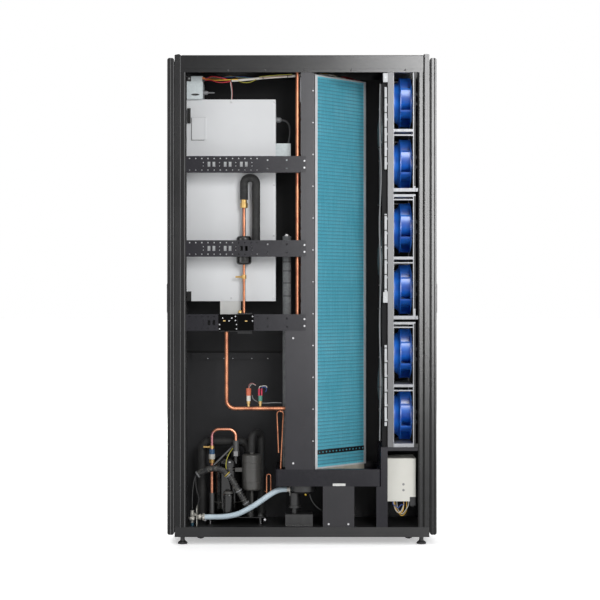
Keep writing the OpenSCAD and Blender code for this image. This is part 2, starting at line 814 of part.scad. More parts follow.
// Place of a row of tubes through the coil's depth, and of a level up its height
function row_y(r) = coil_t / 2 + (r - 1.5) * row_pitch;
function level_z(k) = 30 + k * level_pitch;

// Coil's own frame: x along its length, y through its depth away from the open side
module at_coil() {
    translate([coil_x, coil_y, coil_z]) rotate(coil_angle) children();
}

module coil_fins() {
    count = floor(coil_l / fin_pitch);
    color([0.25, 0.6, 0.7]) at_coil() difference() {
        cube([coil_l, coil_t, coil_h]);
        for (i = [0 : count - 1]) for (y = [-1, coil_t - fin_depth])
            translate([i * fin_pitch + fin_t, y, 8])
                cube([fin_pitch - fin_t, fin_depth + 1, coil_h - 16]);
    }
}

module coil_casing() {
    end = 1.5;
    strip = 12;
    color([0.85, 0.85, 0.82]) {
        at_coil() {
            for (x = [-end, coil_l]) difference() {
                translate([x, -1, -6]) cube([end, coil_t + 2, coil_h + 12]);
                if (x < 0) for (k = header_levels)
                    translate([x - 1, row_y(3), level_z(k)]) rotate([0, 90, 0])
                        cylinder(r = tube_r + gap, h = end + 2);
            }
            translate([-strip, -1 - end, -6]) cube([strip + end, end, coil_h + 12]);
            translate([coil_l, -1 - end, -6]) cube([strip, end, coil_h + 12]);
            translate([0, -1, coil_h]) cube([coil_l, coil_t + 2, 6]);
            translate([0, -1, -6]) cube([coil_l, coil_t + 2, 6]);
            translate([24, -1 - end, tray_z + sheet + gap - coil_z])
                cube([coil_l - 24, end, coil_z - 4 - tray_z - sheet - gap]);
        }
    }
    color([0.08, 0.08, 0.09]) at_coil() translate([0, -1 - end, 52]) difference() {
        cube([coil_l, end + 1, 18]);
        for (i = [0 : 13]) translate([10 + i * 20, -1, 6]) cube([10, end + 3, 6]);
    }
}

// Return bends at both ends of the coil and the suction header
module coil_tubes() {
    color([0.72, 0.42, 0.28]) at_coil() {
        for (k = [0 : tube_levels - 1]) translate([0, 0, level_z(k)]) {
            translate([-1.5 - gap, row_y(1.5), 0]) rotate(90) hairpin();
            for (r = [0.5, 2.5]) translate([coil_l + 1.5 + gap, row_y(r), 0])
                rotate(-90) hairpin();
        }
        translate([-1.5 - header_out, row_y(3), level_z(1) - 20])
            cylinder(r = header_r, h = level_z(tube_levels - 2) - level_z(1) + 40);
        for (k = header_levels) translate([-1.5 - header_out, row_y(3), level_z(k)])
            rotate([0, 90, 0]) cylinder(r = tube_r, h = header_out + 1.2);
    }
}

// Half turn of tube between two rows, opening towards -Y
module hairpin() {
    rotate_extrude(angle = 180) translate([row_pitch / 2, 0]) circle(r = tube_r);
}

// ---- drip tray and lower bay ----

module drip_tray() {
    far = skin_far - sheet - 2;
    color([0.14, 0.14, 0.15]) difference() {
        union() {
            translate([0, 0, tray_z]) linear_extrude(tray_h)
                tray_plan(far, 0);
        }
        translate([0, 0, tray_z + sheet]) linear_extrude(tray_h - 2 * sheet)
            tray_plan(far, sheet);
        translate([0, 0, tray_top - sheet - 1]) linear_extrude(sheet + 2)
            translate([tray_x + 14, inner_y + inner_post_d + 2])
                square([tray_end_x - tray_x - 28, far - inner_y - inner_post_d - 12]);
        translate([pump_x, pump_y, tray_z - 1]) cylinder(r = 10, h = sheet + 2);
    }
}

// Plan of the tray, drawn in by t on every side
module tray_plan(far, t) {
    round_rect([tray_x + t, inner_y + t], [tray_end_x - t, far - t], 9 - t);
}

// Condensate pump: bowl under the tray, lift column and base with the motor
module condensate_pump() {
    color([0.12, 0.12, 0.13]) {
        translate([pump_x, pump_y, tray_z - bowl_h]) difference() {
            rotate_extrude() polygon([[0, 0], [bowl_r - 12, 0], [bowl_r, 8],
                [bowl_r, bowl_h - 4], [bowl_r + 3, bowl_h - 4], [bowl_r + 3, bowl_h], [0, bowl_h]]);
            translate([0, 0, 3]) cylinder(r = bowl_r - 10, h = bowl_h);
        }
        translate([pump_x - 35, pump_y, 0]) {
            translate([0, 0, 150]) cylinder(r = 20, h = tray_z - bowl_h - 150);
            translate([0, 0, 142]) cylinder(r = 26, h = 8);
            translate([0, 0, 118]) cylinder(r = 12, h = 24);
        }
        translate([-68, pump_y - 38, floor_z]) difference() {
            cube([112, 76, 48]);
            for (x = [14, 50, 86]) translate([x, -1, 12]) cube([14, 4, 24]);
        }
    }
    color([0.9, 0.9, 0.88]) translate([pump_x, pump_y, hose_high[2]]) rotate([0, -90, 0])
        translate([0, 0, bowl_r + gap]) {
            cylinder(r = 9, h = hose_out - bowl_r - 2 * gap);
            cylinder(r = hose_r + 2, h = 5);
        }
}

// Drain hose from the pump's bowl down to the drain fitting at the rear
module drain_hose() {
    color([0.75, 0.83, 0.88]) swept(smooth(hose_path, 2), hose_r, 12);
}

// Stand under the tray, open at the far side
module pedestal() {
    color([0.13, 0.13, 0.14]) {
        difference() {
            block([pedestal_x, inner_y, floor_z], [pedestal_x + pedestal_w, 120, tray_z]);
            block([pedestal_x + sheet, inner_y + sheet, floor_z + sheet],
                [pedestal_x + pedestal_w - sheet, 130, tray_z - sheet]);
        }
    }
    color([0.88, 0.88, 0.86]) block([pedestal_x + pedestal_w / 2 + 28, skin_y - 1, tray_z + 2],
        [pedestal_x + pedestal_w / 2 - 24, inner_y, tray_z + 12]);
}

// Compartment of the fan controller: side wall with its wide front edge, and the shelf
module partition() {
    far = skin_far - sheet - 2;
    x = tray_end_x;
    color([0.13, 0.13, 0.14]) {
        block([x, inner_y, floor_z], [x + partition_w, inner_y + sheet, shelf_z]);
        block([x, inner_y, floor_z], [x + sheet, far, shelf_z]);
        block([x - 19, inner_y + gap, floor_z], [x, inner_y + sheet + gap, tray_z - 1]);
        difference() {
            block([x, inner_y, shelf_z - shelf_h], [lip_in - 1, far, shelf_z]);
            block([x + sheet, inner_y + sheet, shelf_z - shelf_h - 1],
                [lip_in, far + 1, shelf_z - sheet]);
        }
    }
}

// Fan controller box with a stepped lower corner
module inverter_box() {
    y = near_y + 42;
    color([0.85, 0.84, 0.78]) difference() {
        block([inv_x, y, inv_z], [inv_x + inv_w, y + 150, inv_z + inv_h]);
        block([inv_x + inv_w - 24, y - 1, inv_z - 1], [inv_x + inv_w + 1, y + 151, inv_z + 18]);
        block([inv_x + 3, y + 3, inv_z + 21], [inv_x + inv_w - 3, y + 147, inv_z + inv_h - 3]);
    }
    color([0.5, 0.5, 0.5]) for (z = [70, 46]) translate([inv_x + inv_w - 50, y, inv_z + z])
        rotate([90, 0, 0]) cylinder(r = 5, h = 2);
    color([0.3, 0.3, 0.32]) for (z = [40, inv_h - 50]) block([inv_x + 10, y + 150, inv_z + z],
        [inv_x + inv_w - 10, skin_far - sheet - 1.5, inv_z + z + 20]);
}

// ---- refrigerant circuit ----

// Upright vessel with rounded shoulders, standing at z = 0
module vessel(r, h, shoulder) {
    rotate_extrude() intersection() {
        round_rect([-r, 0], [r, h], shoulder);
        square([r, h]);
    }
}

module compressor() {
    color([0.09, 0.09, 0.1]) {
        difference() {
            block([-400, base_front, comp_z - 22], [-152, 118, comp_z]);
            block([-398, base_front - 1, comp_z - 23], [-154, 119, comp_z - sheet]);
        }
        for (x = [-380, -172]) for (y = [base_front + 20, 96]) translate([x, y, floor_z])
            cylinder(r = 9, h = comp_z - sheet - floor_z);
        translate([comp[0], comp[1], comp_z]) {
            vessel(comp_r, comp_h, comp_r * 0.45);
            for (a = [30, 150, 270]) rotate(a) translate([comp_r - 6, -9, 0]) cube([20, 18, 5]);
            translate([0, 0, comp_h - 2]) cylinder(r = 15, h = 12);
        }
        translate([port[0], port[1], comp_z + comp_h - 26]) cylinder(r = 11, h = 31);
        translate([comp[0] + 8, comp[1] - 83, comp_z]) vessel(22, 100, 14);
    }
}

module accumulator() {
    color([0.09, 0.09, 0.1]) translate([accu[0], accu[1], 0]) {
        translate([0, 0, accu_z]) vessel(accu_r, accu_h, 9);
        translate([0, 0, accu_z + accu_h - 1]) cylinder(r = 11, h = 9);
        translate([0, 0, comp_z]) cylinder(r = 7, h = accu_z - comp_z + 1);
        block([-accu_r - 29.5, -8, 282], [-accu_r + 4, 8, 298]);
        translate([0, 0, 286]) cylinder(r = accu_r + 1.5, h = 10);
    }
}

// Insulated suction lines: the low loop round the compressor, and the rise to the accumulator
module suction_line() {
    leg = [-172, 42];
    color([0.08, 0.08, 0.09]) {
        pipe([[-420, leg[1], floor_z + gap], [-420, leg[1], 402], [-225, leg[1], 402],
            [-225, leg[1], comp_z + gap]], 18, 36);
        run = leg - accu;
        translate([accu[0], accu[1], 0]) rotate(atan2(run[1], run[0]))
            pipe([[0, 0, accu_z + accu_h + 8 + gap], [0, 0, 440], [norm(run), 0, 440],
                [norm(run), 0, comp_z + gap]], 15, 30);
    }
}

// Copper discharge loop with its insulated ends and the union nut at the compressor
module discharge_line() {
    nut_z = comp_z + comp_h + 5 + gap;
    color([0.72, 0.42, 0.28]) {
        pipe([[loop[0], loop[1], 188], [loop[0], loop[1], 456], [port[0], port[1], 456],
            [port[0], port[1], nut_z + 18]], loop_r, 30);
        translate([port[0], port[1], nut_z]) hex(30, 20);
        translate([port[0], port[1], nut_z + 20]) cylinder(r = 13, h = 44);
        translate([loop[0], loop[1], comp_z + gap]) cylinder(r = 10, h = 90);
    }
}

// Large copper line: up from the valves, along the bay and up to the roof, with small lines
module liquid_line() {
    color([0.75, 0.45, 0.3]) {
        pipe([[line_x, riser[1], valve_z - gap], [line_x, riser[1], line_z],
            [riser[0], riser[1], line_z], [riser[0], riser[1], roof_z]], line_r, 34);
        translate([drier_x, bend_y, drier_z + drier_h + gap])
            cylinder(r = 7, h = nut_low - drier_z - drier_h - 2 * gap);
        translate([drier_x, bend_y, valve_top + gap])
            cylinder(r = 6, h = drier_z - valve_top - 2 * gap);
        pipe([[-96, riser[1], 369], [-103, riser[1], line_z - line_r - 3 - gap],
            [-76, riser[1], line_z - line_r - 3 - gap], [-88, riser[1], tray_top + gap]], 3, 12);
        pipe([[-157 + gap, 42, 190], [-146, 42, 190], [-146, -66, 190], [-146, -66, 276],
            [-129, -66, 276], [-129, -66, 204], [-90, -66, 204], [-90, -66, tray_z - gap]],
            2.5, 8);
    }
}

// Insulated hairpin over the drier and the insulated riser that it joins
module insulated_line() {
    top = 1516 - sleeve_r;
    right = drier_x + leg_pitch;
    bend = leg_pitch / 2 - 1;
    color([0.08, 0.08, 0.09]) {
        pipe([[drier_x, bend_y, nut_low + 34 + gap], [drier_x, bend_y, top],
            [right, bend_y, top], [right, bend_y, rail_z[1]],
            [insulated[0], insulated[1], rail_z[1]]], sleeve_r, bend);
        translate([insulated[0], insulated[1], tray_top + gap]) cylinder(r = sleeve_r + 1,
            h = 1259 - tray_top - gap);
        translate([insulated[0], insulated[1], rail_z[1] + 20]) rotate([0, 90, 0])
            cylinder(r = 7, h = 39);
    }
}

module filter_drier() {
    color([0.07, 0.07, 0.08]) translate([drier_x, bend_y, drier_z]) {
        vessel(drier_r, drier_h, 12);
        translate([0, 0, drier_h / 2 - 9]) cylinder(r = drier_r + 1, h = 18);
    }
}

// Collar of radius r round a vertical line of radius line at the point o
module collar(o, line, r, h) {
    translate(o) difference() {
        cylinder(r = r, h = h);
        translate([0, 0, -1]) cylinder(r = line + fit, h = h + 2);
    }
}

module refrigerant_valves() {
    color([0.1, 0.1, 0.11]) {
        block([-264, -112, 858], [-206, -66, valve_top]);
        block([-340, -112, valve_z], [-264 + eps, -70, 925]);
        block([-302, inner_y + gap, 884], [-288, -112 + eps, 914]);
        translate([-235, -112, 900]) rotate([90, 0, 0]) cylinder(r = 9, h = 8);
        translate([-302, -91, 925 - eps]) cylinder(r = 13, h = 12);
    }
    color([0.8, 0.62, 0.3]) {
        translate([drier_x, bend_y, nut_low]) hex(27, 20);
        translate([drier_x, bend_y, nut_low + 20]) cylinder(r = 12, h = 14);
        collar([drier_x, bend_y, 1083], 6, 10, 16);
        translate([drier_x - 6 - gap - 3, bend_y, 1091]) rotate([0, -90, 0])
            cylinder(r = 4, h = 26);
        collar([loop[0], loop[1], 316], loop_r, 11, 16);
        collar([loop[0], loop[1], 332.3], loop_r, 13, 20);
        collar([loop[0], loop[1], 352.6], loop_r, 11, 20);
        collar([loop[0], loop[1], 376], loop_r, 10, 12);
        translate([loop[0] - loop_r - 3, loop[1], 382]) rotate([0, -90, 0])
            cylinder(r = 4.5, h = 26);
    }
    // drain fitting and service valve on their bracket beside the rear post
    color([0.55, 0.55, 0.56]) block([-432, -122, floor_z], [-430, -62, 150]);
    color([0.85, 0.83, 0.78]) {
        translate([hose_low[0] - gap, hose_low[1], hose_low[2]]) rotate([0, -90, 0]) {
            cylinder(r = 9, h = 30 - gap - eps);
            cylinder(r = 15, h = 9);
            translate([0, 0, 14]) cylinder(r = 13, h = 8);
        }
        translate([-450, -106, floor_z + 13]) cylinder(r = 8, h = 50);
        translate([-450, -106, floor_z + 24]) hex(24, 12);
        translate([-450, -106, floor_z]) cylinder(r = 7, h = 13);
        block([-446, -108, floor_z + 40], [-432 + eps, -104, floor_z + 52]);
    }
}

module pressure_switches() {
    for (k = [0, 1]) translate([k == 0 ? -219 : -171, riser[1], line_z + line_r + gap])
        color([0.8, 0.3, 0.25]) {
            cylinder(r = 5, h = 18);
            translate([0, 0, 10]) hex(14, 12);
            translate([0, 0, 22]) cylinder(r = 8.5, h = 22);
            if (k == 0) translate([0, 0, 44]) cylinder(r = 10, h = 30);
            else for (s = [-1, 1]) translate([s * 5.5, 0, 43]) cylinder(r = 3.6, h = 30);
        }
}

// ---- electrical parts ----

module electrical_box() {
    far = skin_far - sheet - 1.5;
    color([0.86, 0.87, 0.88]) {
        difference() {
            block([box_x, box_y + sheet, box_z], [box_x + box_w, box_y + box_t, box_z + box_h]);
            block([box_x + sheet, box_y - 1, box_z + sheet], [box_x + box_w - sheet,
                box_y + box_t - sheet, box_z + box_h - sheet]);
        }
        for (z = [120, box_h - 160]) block([box_x + 10, box_y + box_t, box_z + z],
            [box_x + box_w - 10, far, box_z + z + 40]);
    }
}

module electrical_cover() {
    color([0.88, 0.89, 0.9]) {
        block([box_x, box_y, box_z], [box_x + box_w, box_y + sheet, box_z + box_h]);
        block([box_x + 22, box_y - 7, box_z + 668], [box_x + 82, box_y + eps, box_z + 760]);
    }
    color([0.1, 0.1, 0.1]) {
        block([box_x + 4, box_y - 9, box_z + 736], [box_x + 17, box_y + eps, box_z + 798]);
        block([box_x + 1, box_y - 6, box_z], [box_x + 20, box_y + eps, box_z + 40]);
    }
}

module junction_boxes() {
    color([0.85, 0.86, 0.87]) {
        block([-336, -42, box_z - 54], [-256, 22, box_z]);
        block([-339, -45, box_z - 54], [-253, -42 + eps, box_z - gap]);
    }
    color([0.6, 0.61, 0.62]) {
        block([box_x + box_w, -40, 1535], [box_x + box_w + 62, 34, 1645]);
        block([box_x + 2, -66, box_z + box_h], [box_x + 68, 34, inner_top - 4]);
        block([box_x + 66, -60, box_z + box_h + 74], [box_x + 76, -44, inner_top - 8]);
    }
}

module wiring() {
    for (w = wires) color([0.8, 0.2, 0.2]) swept(smooth(w[0], 4), w[1], 8);
}

// Black ribbed conduit from the wires at the rear down to the compressor's base
module conduit() {
    color([0.07, 0.07, 0.08]) swept(smooth(conduit_path, 3), 13, 12);
}

// White trunking and screw brackets beside the fan posts
module cable_ducts() {
    color([0.9, 0.9, 0.9]) for (z = [[1529, 1864], [1004, 1347], [482, 812]]) {
        block([fan_post_x - 13, inner_y + 2, z[0]], [fan_post_x - 4, inner_y + 16, z[1]]);
        for (k = [z[0] + 20 : 60 : z[1] - 20])
            block([fan_post_x - 4 - eps, inner_y + 4, k], [fan_post_x, inner_y + 14, k + 8]);
    }
    color([0.92, 0.92, 0.92]) for (z = [[1884, 1921], [985, 1028]])
        block([fan_post_x - 19, inner_y + 1, z[0]], [fan_post_x, inner_y + 3, z[1]]);
}

// ---- fasteners ----

// Screw head at the point o, standing out towards -Y
module screw(o, r = 4, h = 1.8) {
    translate(o) rotate([90, 0, 0]) rotate_extrude()
        polygon([[0, 0], [r, 0], [r, h * 0.5], [r * 0.7, h], [0, h]]);
}

module fasteners() {
    color([0.7, 0.7, 0.72]) {
        for (z = rail_z) for (s = [-1, 1]) screw([mid_post_x + 14, skin_y, z + s * 14]);
        for (x = [-300, -150, 10, 200, 420]) screw([x, skin_y, inner_top + 8]);
        for (z = [420 : 130 : 1900]) screw([mid_post_end + 6, inner_y + 8, z], 3);
        for (z = [330, 840]) screw([mid_post_x - support_w / 2, inner_y, z]);
        for (x = [box_x + box_w / 2, box_x + box_w - 8]) for (z = [12, box_h - 12])
            screw([x, box_y, box_z + z], 4.5);
        for (z = [270, 480]) screw([box_x + box_w - 8, box_y, box_z + z], 4.5);
        for (x = [24, pedestal_w - 24]) screw([pedestal_x + x, inner_y, floor_z + 12]);
        for (z = [1902, 1006]) screw([fan_post_x - 10, inner_y + 1, z], 3);
        for (x = [-399, -153]) screw([x, base_front, comp_z - 11], 5);
        for (z = module_z) for (a = [22.5 : 45 : 337.5])
            translate([bulkhead_x - sheet, (dome_r + 13) * sin(a), z + (dome_r + 13) * cos(a)])
                rotate([0, -90, 0]) cylinder(r = 4, h = 2.5);
    }
}

// ---- doors ----

// Perforated sheet that fills a door's window from z0 to z1
module grille(z0, z1) {
    half = unit_w / 2 - 1 - door_border;
    rows = max(2, round(grille_rows * (z1 - z0) / (door_high - door_low)));
    py = 2 * half / grille_cols;
    pz = (z1 - z0) / rows;
    difference() {
        block([door_face - 6, -half - 1, z0 - 1], [door_face - 4.5, half + 1, z1 + 1]);
        for (c = [0 : grille_cols - 1]) for (r = [0 : rows - 1])
            translate([door_face - 7, -half + py * (c + (1 - grille_open) / 2),
                z0 + pz * (r + 0.08)]) cube([4, py * grille_open, pz * 0.84]);
    }
}

// Skin of a door at the front: folded edges, rounded ends and the frames of its windows
module door_skin(windows) {
    y = unit_w / 2 - 1;
    half = y - door_border;
    difference() {
        union() {
            difference() {
                plate_xz(-y, 2 * y) round_rect([door_in, door_low], [door_face, door_high],
                    door_end_r);
                block([door_in - 1, -y + sheet, door_low + sheet + door_end_r],
                    [door_face - sheet, y - sheet, door_high - sheet - door_end_r]);
            }
            for (w = windows) block([door_in, -half - sheet, w[0] - sheet], [door_face,
                half + sheet, w[1] + sheet]);
        }
        for (w = windows) block([door_in - 1, -half, w[0]], [door_face + 1, half, w[1]]);
        for (k = [0.38, 0.68]) block([door_in + door_t * k, -y - 1, door_low + 20],
            [door_in + door_t * k + 2, -y + 1, door_high - 20]);
    }
}

// Door leaf at the front: skin, grilles, pivot blocks and the lock case with its plate
module door_leaf(windows) {
    y = unit_w / 2 - 1;
    difference() {
        union() {
            door_skin(windows);
            for (w = windows) grille(w[0], w[1]);
            for (z = [door_low, door_high - 40]) block([door_in, pivot_y - 12, z + 8],
                [door_face - 1, y - 1, z + 32]);
            block([door_in, handle_y - 11, handle_z - 26], [door_face - 1, handle_y + 11,
                handle_z + 26]);
            block([door_face - 6, handle_y - 13, handle_z - lever_l - 14],
                [door_face + 0.8, handle_y + 13, handle_z + 18]);
        }
        for (z = [door_low - 1, door_high - pivot_pin_l - 1]) translate([pivot_x, pivot_y, z])
            cylinder(r = door_pin_r + fit, h = pivot_pin_l + 2);
        translate([door_in - 1, handle_y, handle_z]) rotate([0, 90, 0])
            cylinder(r = spindle_r + fit, h = door_t + 3);
    }
}

// Quarter-turn lever with its spindle and the cam inside the door
module handle() {
    out = door_face + handle_proud;
    translate([0, handle_y, handle_z]) {
        translate([door_in - 12, 0, 0]) rotate([0, 90, 0])
            cylinder(r = spindle_r, h = door_t + 13 + handle_proud - 1);
        translate([door_face + 0.8 + gap, 0, 0]) rotate([90, 0, 90])
            linear_extrude(out - door_face - 0.8 - gap) {
                circle(r = lever_w / 2);
                translate([0, -lever_l + lever_w / 2 + 4]) {
                    translate([-lever_w * 0.36, 0]) square([lever_w * 0.72,
                        lever_l - lever_w / 2 - 4]);
                    circle(r = lever_w * 0.36);
                }
            }
        block([door_in - 12, -14, -7], [door_in - 9, 4, 7]);
    }
}

module front_door() { color([0.14, 0.14, 0.15]) door_leaf(front_windows); }
module rear_door() { color([0.14, 0.14, 0.15]) mirror([1, 0, 0]) door_leaf(rear_windows); }
module front_handle() { color([0.1, 0.1, 0.11]) handle(); }
module rear_handle() { color([0.1, 0.1, 0.11]) mirror([1, 0, 0]) handle(); }

// Operating panel in the solid band of the front door: frame, screen and four keys
module display_panel() {
    color([0.08, 0.08, 0.09]) translate([door_face, 0, 1450]) {
        difference() {
            rotate([90, 0, 90]) linear_extrude(4) round_rect([-56, -74], [56, 74], 8);
            block([3, -44, -14], [5, 44, 58]);
        }
        for (i = [-1.5 : 1.5]) translate([3.9, i * 22, -44]) rotate([0, 90, 0])
            cylinder(r = 7, h = 0.9);
    }
}

// ---- feet and casters ----

module foot(sx, sy) {
    neck = foot_stem_r + 3;
    color([0.08, 0.08, 0.09]) translate([sx * foot_x, sy * foot_y, 0]) {
        rotate_extrude() polygon([[0, 0], [foot_r - 1, 0], [foot_r, 1], [foot_r, 6],
            [foot_r - 3, 9], [neck + 2.5, 13], [neck, 18], [neck, base_z - gap],
            [0, base_z - gap]]);
        translate([0, 0, base_z - 1]) cylinder(r = foot_stem_r, h = 27);
    }
}
module foot_1() { foot(-1, -1); }
module foot_2() { foot(1, -1); }
module foot_3() { foot(-1, 1); }
module foot_4() { foot(1, 1); }

// Swivel fork: disc, kingpin, two cheeks and the axle
module caster_fork(sx, sy) {
    top = floor_z - sheet - 3 - gap;
    axle = caster_lift + wheel_r;
    cheek = wheel_w / 2 + 1;
    color([0.6, 0.6, 0.62]) translate([sx * caster_x, sy * caster_y, 0]) {
        translate([0, 0, top - 4]) cylinder(r = 17, h = 4);
        translate([0, 0, top - 1]) cylinder(r = 4, h = 4);
        for (s = [-1, 1]) translate([0, s * (cheek + 1.25) + 1.25, 0]) rotate([90, 0, 0])
            linear_extrude(2.5) {
                polygon([[-10, top - 4], [-10, top - 2], [12, top - 2], [caster_trail + 6.5, axle],
                    [caster_trail - 6.5, axle]]);
                translate([caster_trail, axle]) circle(r = 6.5);
            }
        translate([caster_trail, cheek + 3.5, axle]) rotate([90, 0, 0])
            cylinder(r = 3, h = 2 * cheek + 7);
    }
}
module caster_fork_1() { caster_fork(-1, -1); }
module caster_fork_2() { caster_fork(1, -1); }
module caster_fork_3() { caster_fork(-1, 1); }
module caster_fork_4() { caster_fork(1, 1); }

module caster_wheel(sx, sy) {
    w = wheel_w / 2;
    color([0.12, 0.12, 0.13]) translate([sx * caster_x + caster_trail, sy * caster_y,
        caster_lift + wheel_r]) rotate([90, 0, 0]) rotate_extrude() polygon([[3 + fit, -w],
            [7, -w], [8, -w + 3], [wheel_r - 6, -w + 3], [wheel_r - 5, -w],
            [wheel_r - 2, -w], [wheel_r, -w + 2.5], [wheel_r, w - 2.5], [wheel_r - 2, w],
            [wheel_r - 5, w], [wheel_r - 6, w - 3], [8, w - 3], [7, w], [3 + fit, w]]);
}
module caster_wheel_1() { caster_wheel(-1, -1); }
module caster_wheel_2() { caster_wheel(1, -1); }
module caster_wheel_3() { caster_wheel(-1, 1); }
module caster_wheel_4() { caster_wheel(1, 1); }

base_frame();
top_frame();
roof_panel();
corner_posts();
side_panel();
cross_rails();
inner_posts();
fan_frames();
fan_inlet_rings();
fan_motors();
bulkhead();
coil_fins();
coil_casing();
coil_tubes();
drip_tray();
condensate_pump();
drain_hose();
compressor();
accumulator();
suction_line();
discharge_line();
liquid_line();
insulated_line();
filter_drier();
refrigerant_valves();
pressure_switches();
electrical_box();
electrical_cover();
junction_boxes();
wiring();
conduit();
cable_ducts();
inverter_box();
partition();
pedestal();
fasteners();
rear_door();
front_door();
rear_handle();
front_handle();
display_panel();
impeller_1();
impeller_2();
impeller_3();
impeller_4();
impeller_5();
impeller_6();
foot_1();
foot_2();
foot_3();
foot_4();
caster_fork_1();
caster_fork_2();
caster_fork_3();
caster_fork_4();
caster_wheel_1();
caster_wheel_2();
caster_wheel_3();
caster_wheel_4();
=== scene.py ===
import math

import bmesh
import bpy
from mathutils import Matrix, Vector


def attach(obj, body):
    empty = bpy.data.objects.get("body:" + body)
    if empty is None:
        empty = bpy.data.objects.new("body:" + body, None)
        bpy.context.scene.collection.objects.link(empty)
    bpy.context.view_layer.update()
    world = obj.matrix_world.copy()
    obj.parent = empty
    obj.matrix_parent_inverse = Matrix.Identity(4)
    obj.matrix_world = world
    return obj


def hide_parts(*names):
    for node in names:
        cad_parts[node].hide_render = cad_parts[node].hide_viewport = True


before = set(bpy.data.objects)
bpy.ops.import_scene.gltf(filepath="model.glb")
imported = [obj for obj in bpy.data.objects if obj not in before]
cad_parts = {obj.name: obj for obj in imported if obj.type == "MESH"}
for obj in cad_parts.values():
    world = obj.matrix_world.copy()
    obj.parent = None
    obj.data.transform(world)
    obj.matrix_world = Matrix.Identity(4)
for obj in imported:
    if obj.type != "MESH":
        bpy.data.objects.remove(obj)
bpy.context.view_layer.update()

# ---- Studio: camera, floor and lamps ----
# The unit stands alone on a seamless pale floor, seen square on from its open side at half height.
# A tall soft box high on the fan side gives the sheen that fades from the front posts to the rear.


def math_node(operation):
    """A method that joins a socket and another value in a Math node."""
    return lambda self, other: self.math(operation, other)


class Socket:
    """A node's output. Sums with it add Math nodes to its finish."""

    __add__ = __radd__ = math_node("ADD")
    __sub__ = math_node("SUBTRACT")
    __mul__ = __rmul__ = math_node("MULTIPLY")
    __truediv__ = math_node("DIVIDE")
    __pow__ = math_node("POWER")
    above = math_node("GREATER_THAN")
    below = math_node("LESS_THAN")

    def __init__(self, finish, socket):
        self.finish = finish
        self.socket = socket

    def __rsub__(self, other):
        return self * -1.0 + other

    def math(self, operation, *others):
        return self.finish.node("Math", {"operation": operation},
                                dict(enumerate((self, *others))))

    def within(self, low, high):
        return self.above(low) * self.below(high)

    def limited(self):
        return self.finish.node("Clamp", {}, {"Value": self})

    def tint(self, plain, marked):
        """The first colour where this mask is 0, the second where it is 1."""
        return self.finish.node("Mix", {"data_type": "RGBA"}, {0: self, 6: plain, 7: marked}, 2)


def opaque(colour):
    """The colour with full opacity. One number stands for a grey."""
    return (*colour, 1) if isinstance(colour, tuple) else (colour, colour, colour, 1)


class Finish:
    """The node tree of a material or of the world."""

    def __init__(self, owner):
        self.owner = owner
        owner.use_nodes = True
        self.tree = owner.node_tree
        self.tree.nodes.clear()

    def node(self, kind, settings, sockets, output=0):
        """Adds a node: its settings first, then the values or links of its sockets."""
        made = self.tree.nodes.new("ShaderNode" + kind)
        for name, value in settings.items():
            if name == "stops":
                ramp = made.color_ramp
                while len(ramp.elements) < len(value):
                    ramp.elements.new(0.5)
                for stop, (place, colour) in zip(ramp.elements, value):
                    stop.position = place
                    stop.color = opaque(colour)
            else:
                setattr(made, name, value)
        for name, value in sockets.items():
            if isinstance(value, Socket):
                self.tree.links.new(value.socket, made.inputs[name])
            else:
                if made.inputs[name].type == "RGBA":
                    value = opaque(value)
                made.inputs[name].default_value = value
        return Socket(self, made.outputs[output]) if made.outputs else None

    def along(self, place, axis):
        return self.node("SeparateXYZ", {}, {0: place}, axis)

    def noise(self, place, scale, detail=3.0, rough=0.55, bent=0.0):
        return self.node("TexNoise", {}, {"Vector": place, "Scale": scale, "Detail": detail,
                                          "Roughness": rough, "Distortion": bent})

    def ramp(self, value, *stops):
        return self.node("ValToRGB", {"stops": stops}, {"Fac": value})

    def fade(self, value, dark, light, low=0.3, high=0.7):
        """From the dark colour, where the value is low, to the light one."""
        return self.ramp(value, (low, dark), (high, light))

    def bump(self, height, strength, distance):
        return self.node("Bump", {}, {"Height": height, "Strength": strength,
                                      "Distance": distance})

    def surface(self, **sockets):
        """Ends the tree in one Principled shader and gives back its material."""
        named = {name.replace("_", " "): value for name, value in sockets.items()}
        self.node("OutputMaterial", {}, {"Surface": self.node("BsdfPrincipled", {}, named)})
        return self.owner


def new_finish(name):
    """The finish of a new material, and where its surface lies in the cabinet."""
    made = Finish(bpy.data.materials.new(name))
    return made, made.node("TexCoord", {}, {}, "Object")


def link(name, data):
    """Puts the data into the scene as an object."""
    made = bpy.data.objects.new(name, data)
    bpy.context.scene.collection.objects.link(made)
    return made


world = bpy.data.worlds.new("studio")
bpy.context.scene.world = world
sky = Finish(world)
ray = {name: sky.node("LightPath", {}, {}, name) for name in (
    "Is Camera Ray", "Is Glossy Ray", "Is Transmission Ray")}
seen = (ray["Is Camera Ray"] + ray["Is Glossy Ray"] + ray["Is Transmission Ray"]).limited()
plain = sky.node("Background", {}, {"Color": (1.0, 1.0, 1.0), "Strength": 1.0})
lit = sky.node("Background", {}, {"Color": (0.95, 0.97, 1.0), "Strength": 0.22})
sky.node("OutputWorld", {}, {"Surface": sky.node("MixShader", {}, {0: seen, 1: lit, 2: plain})})

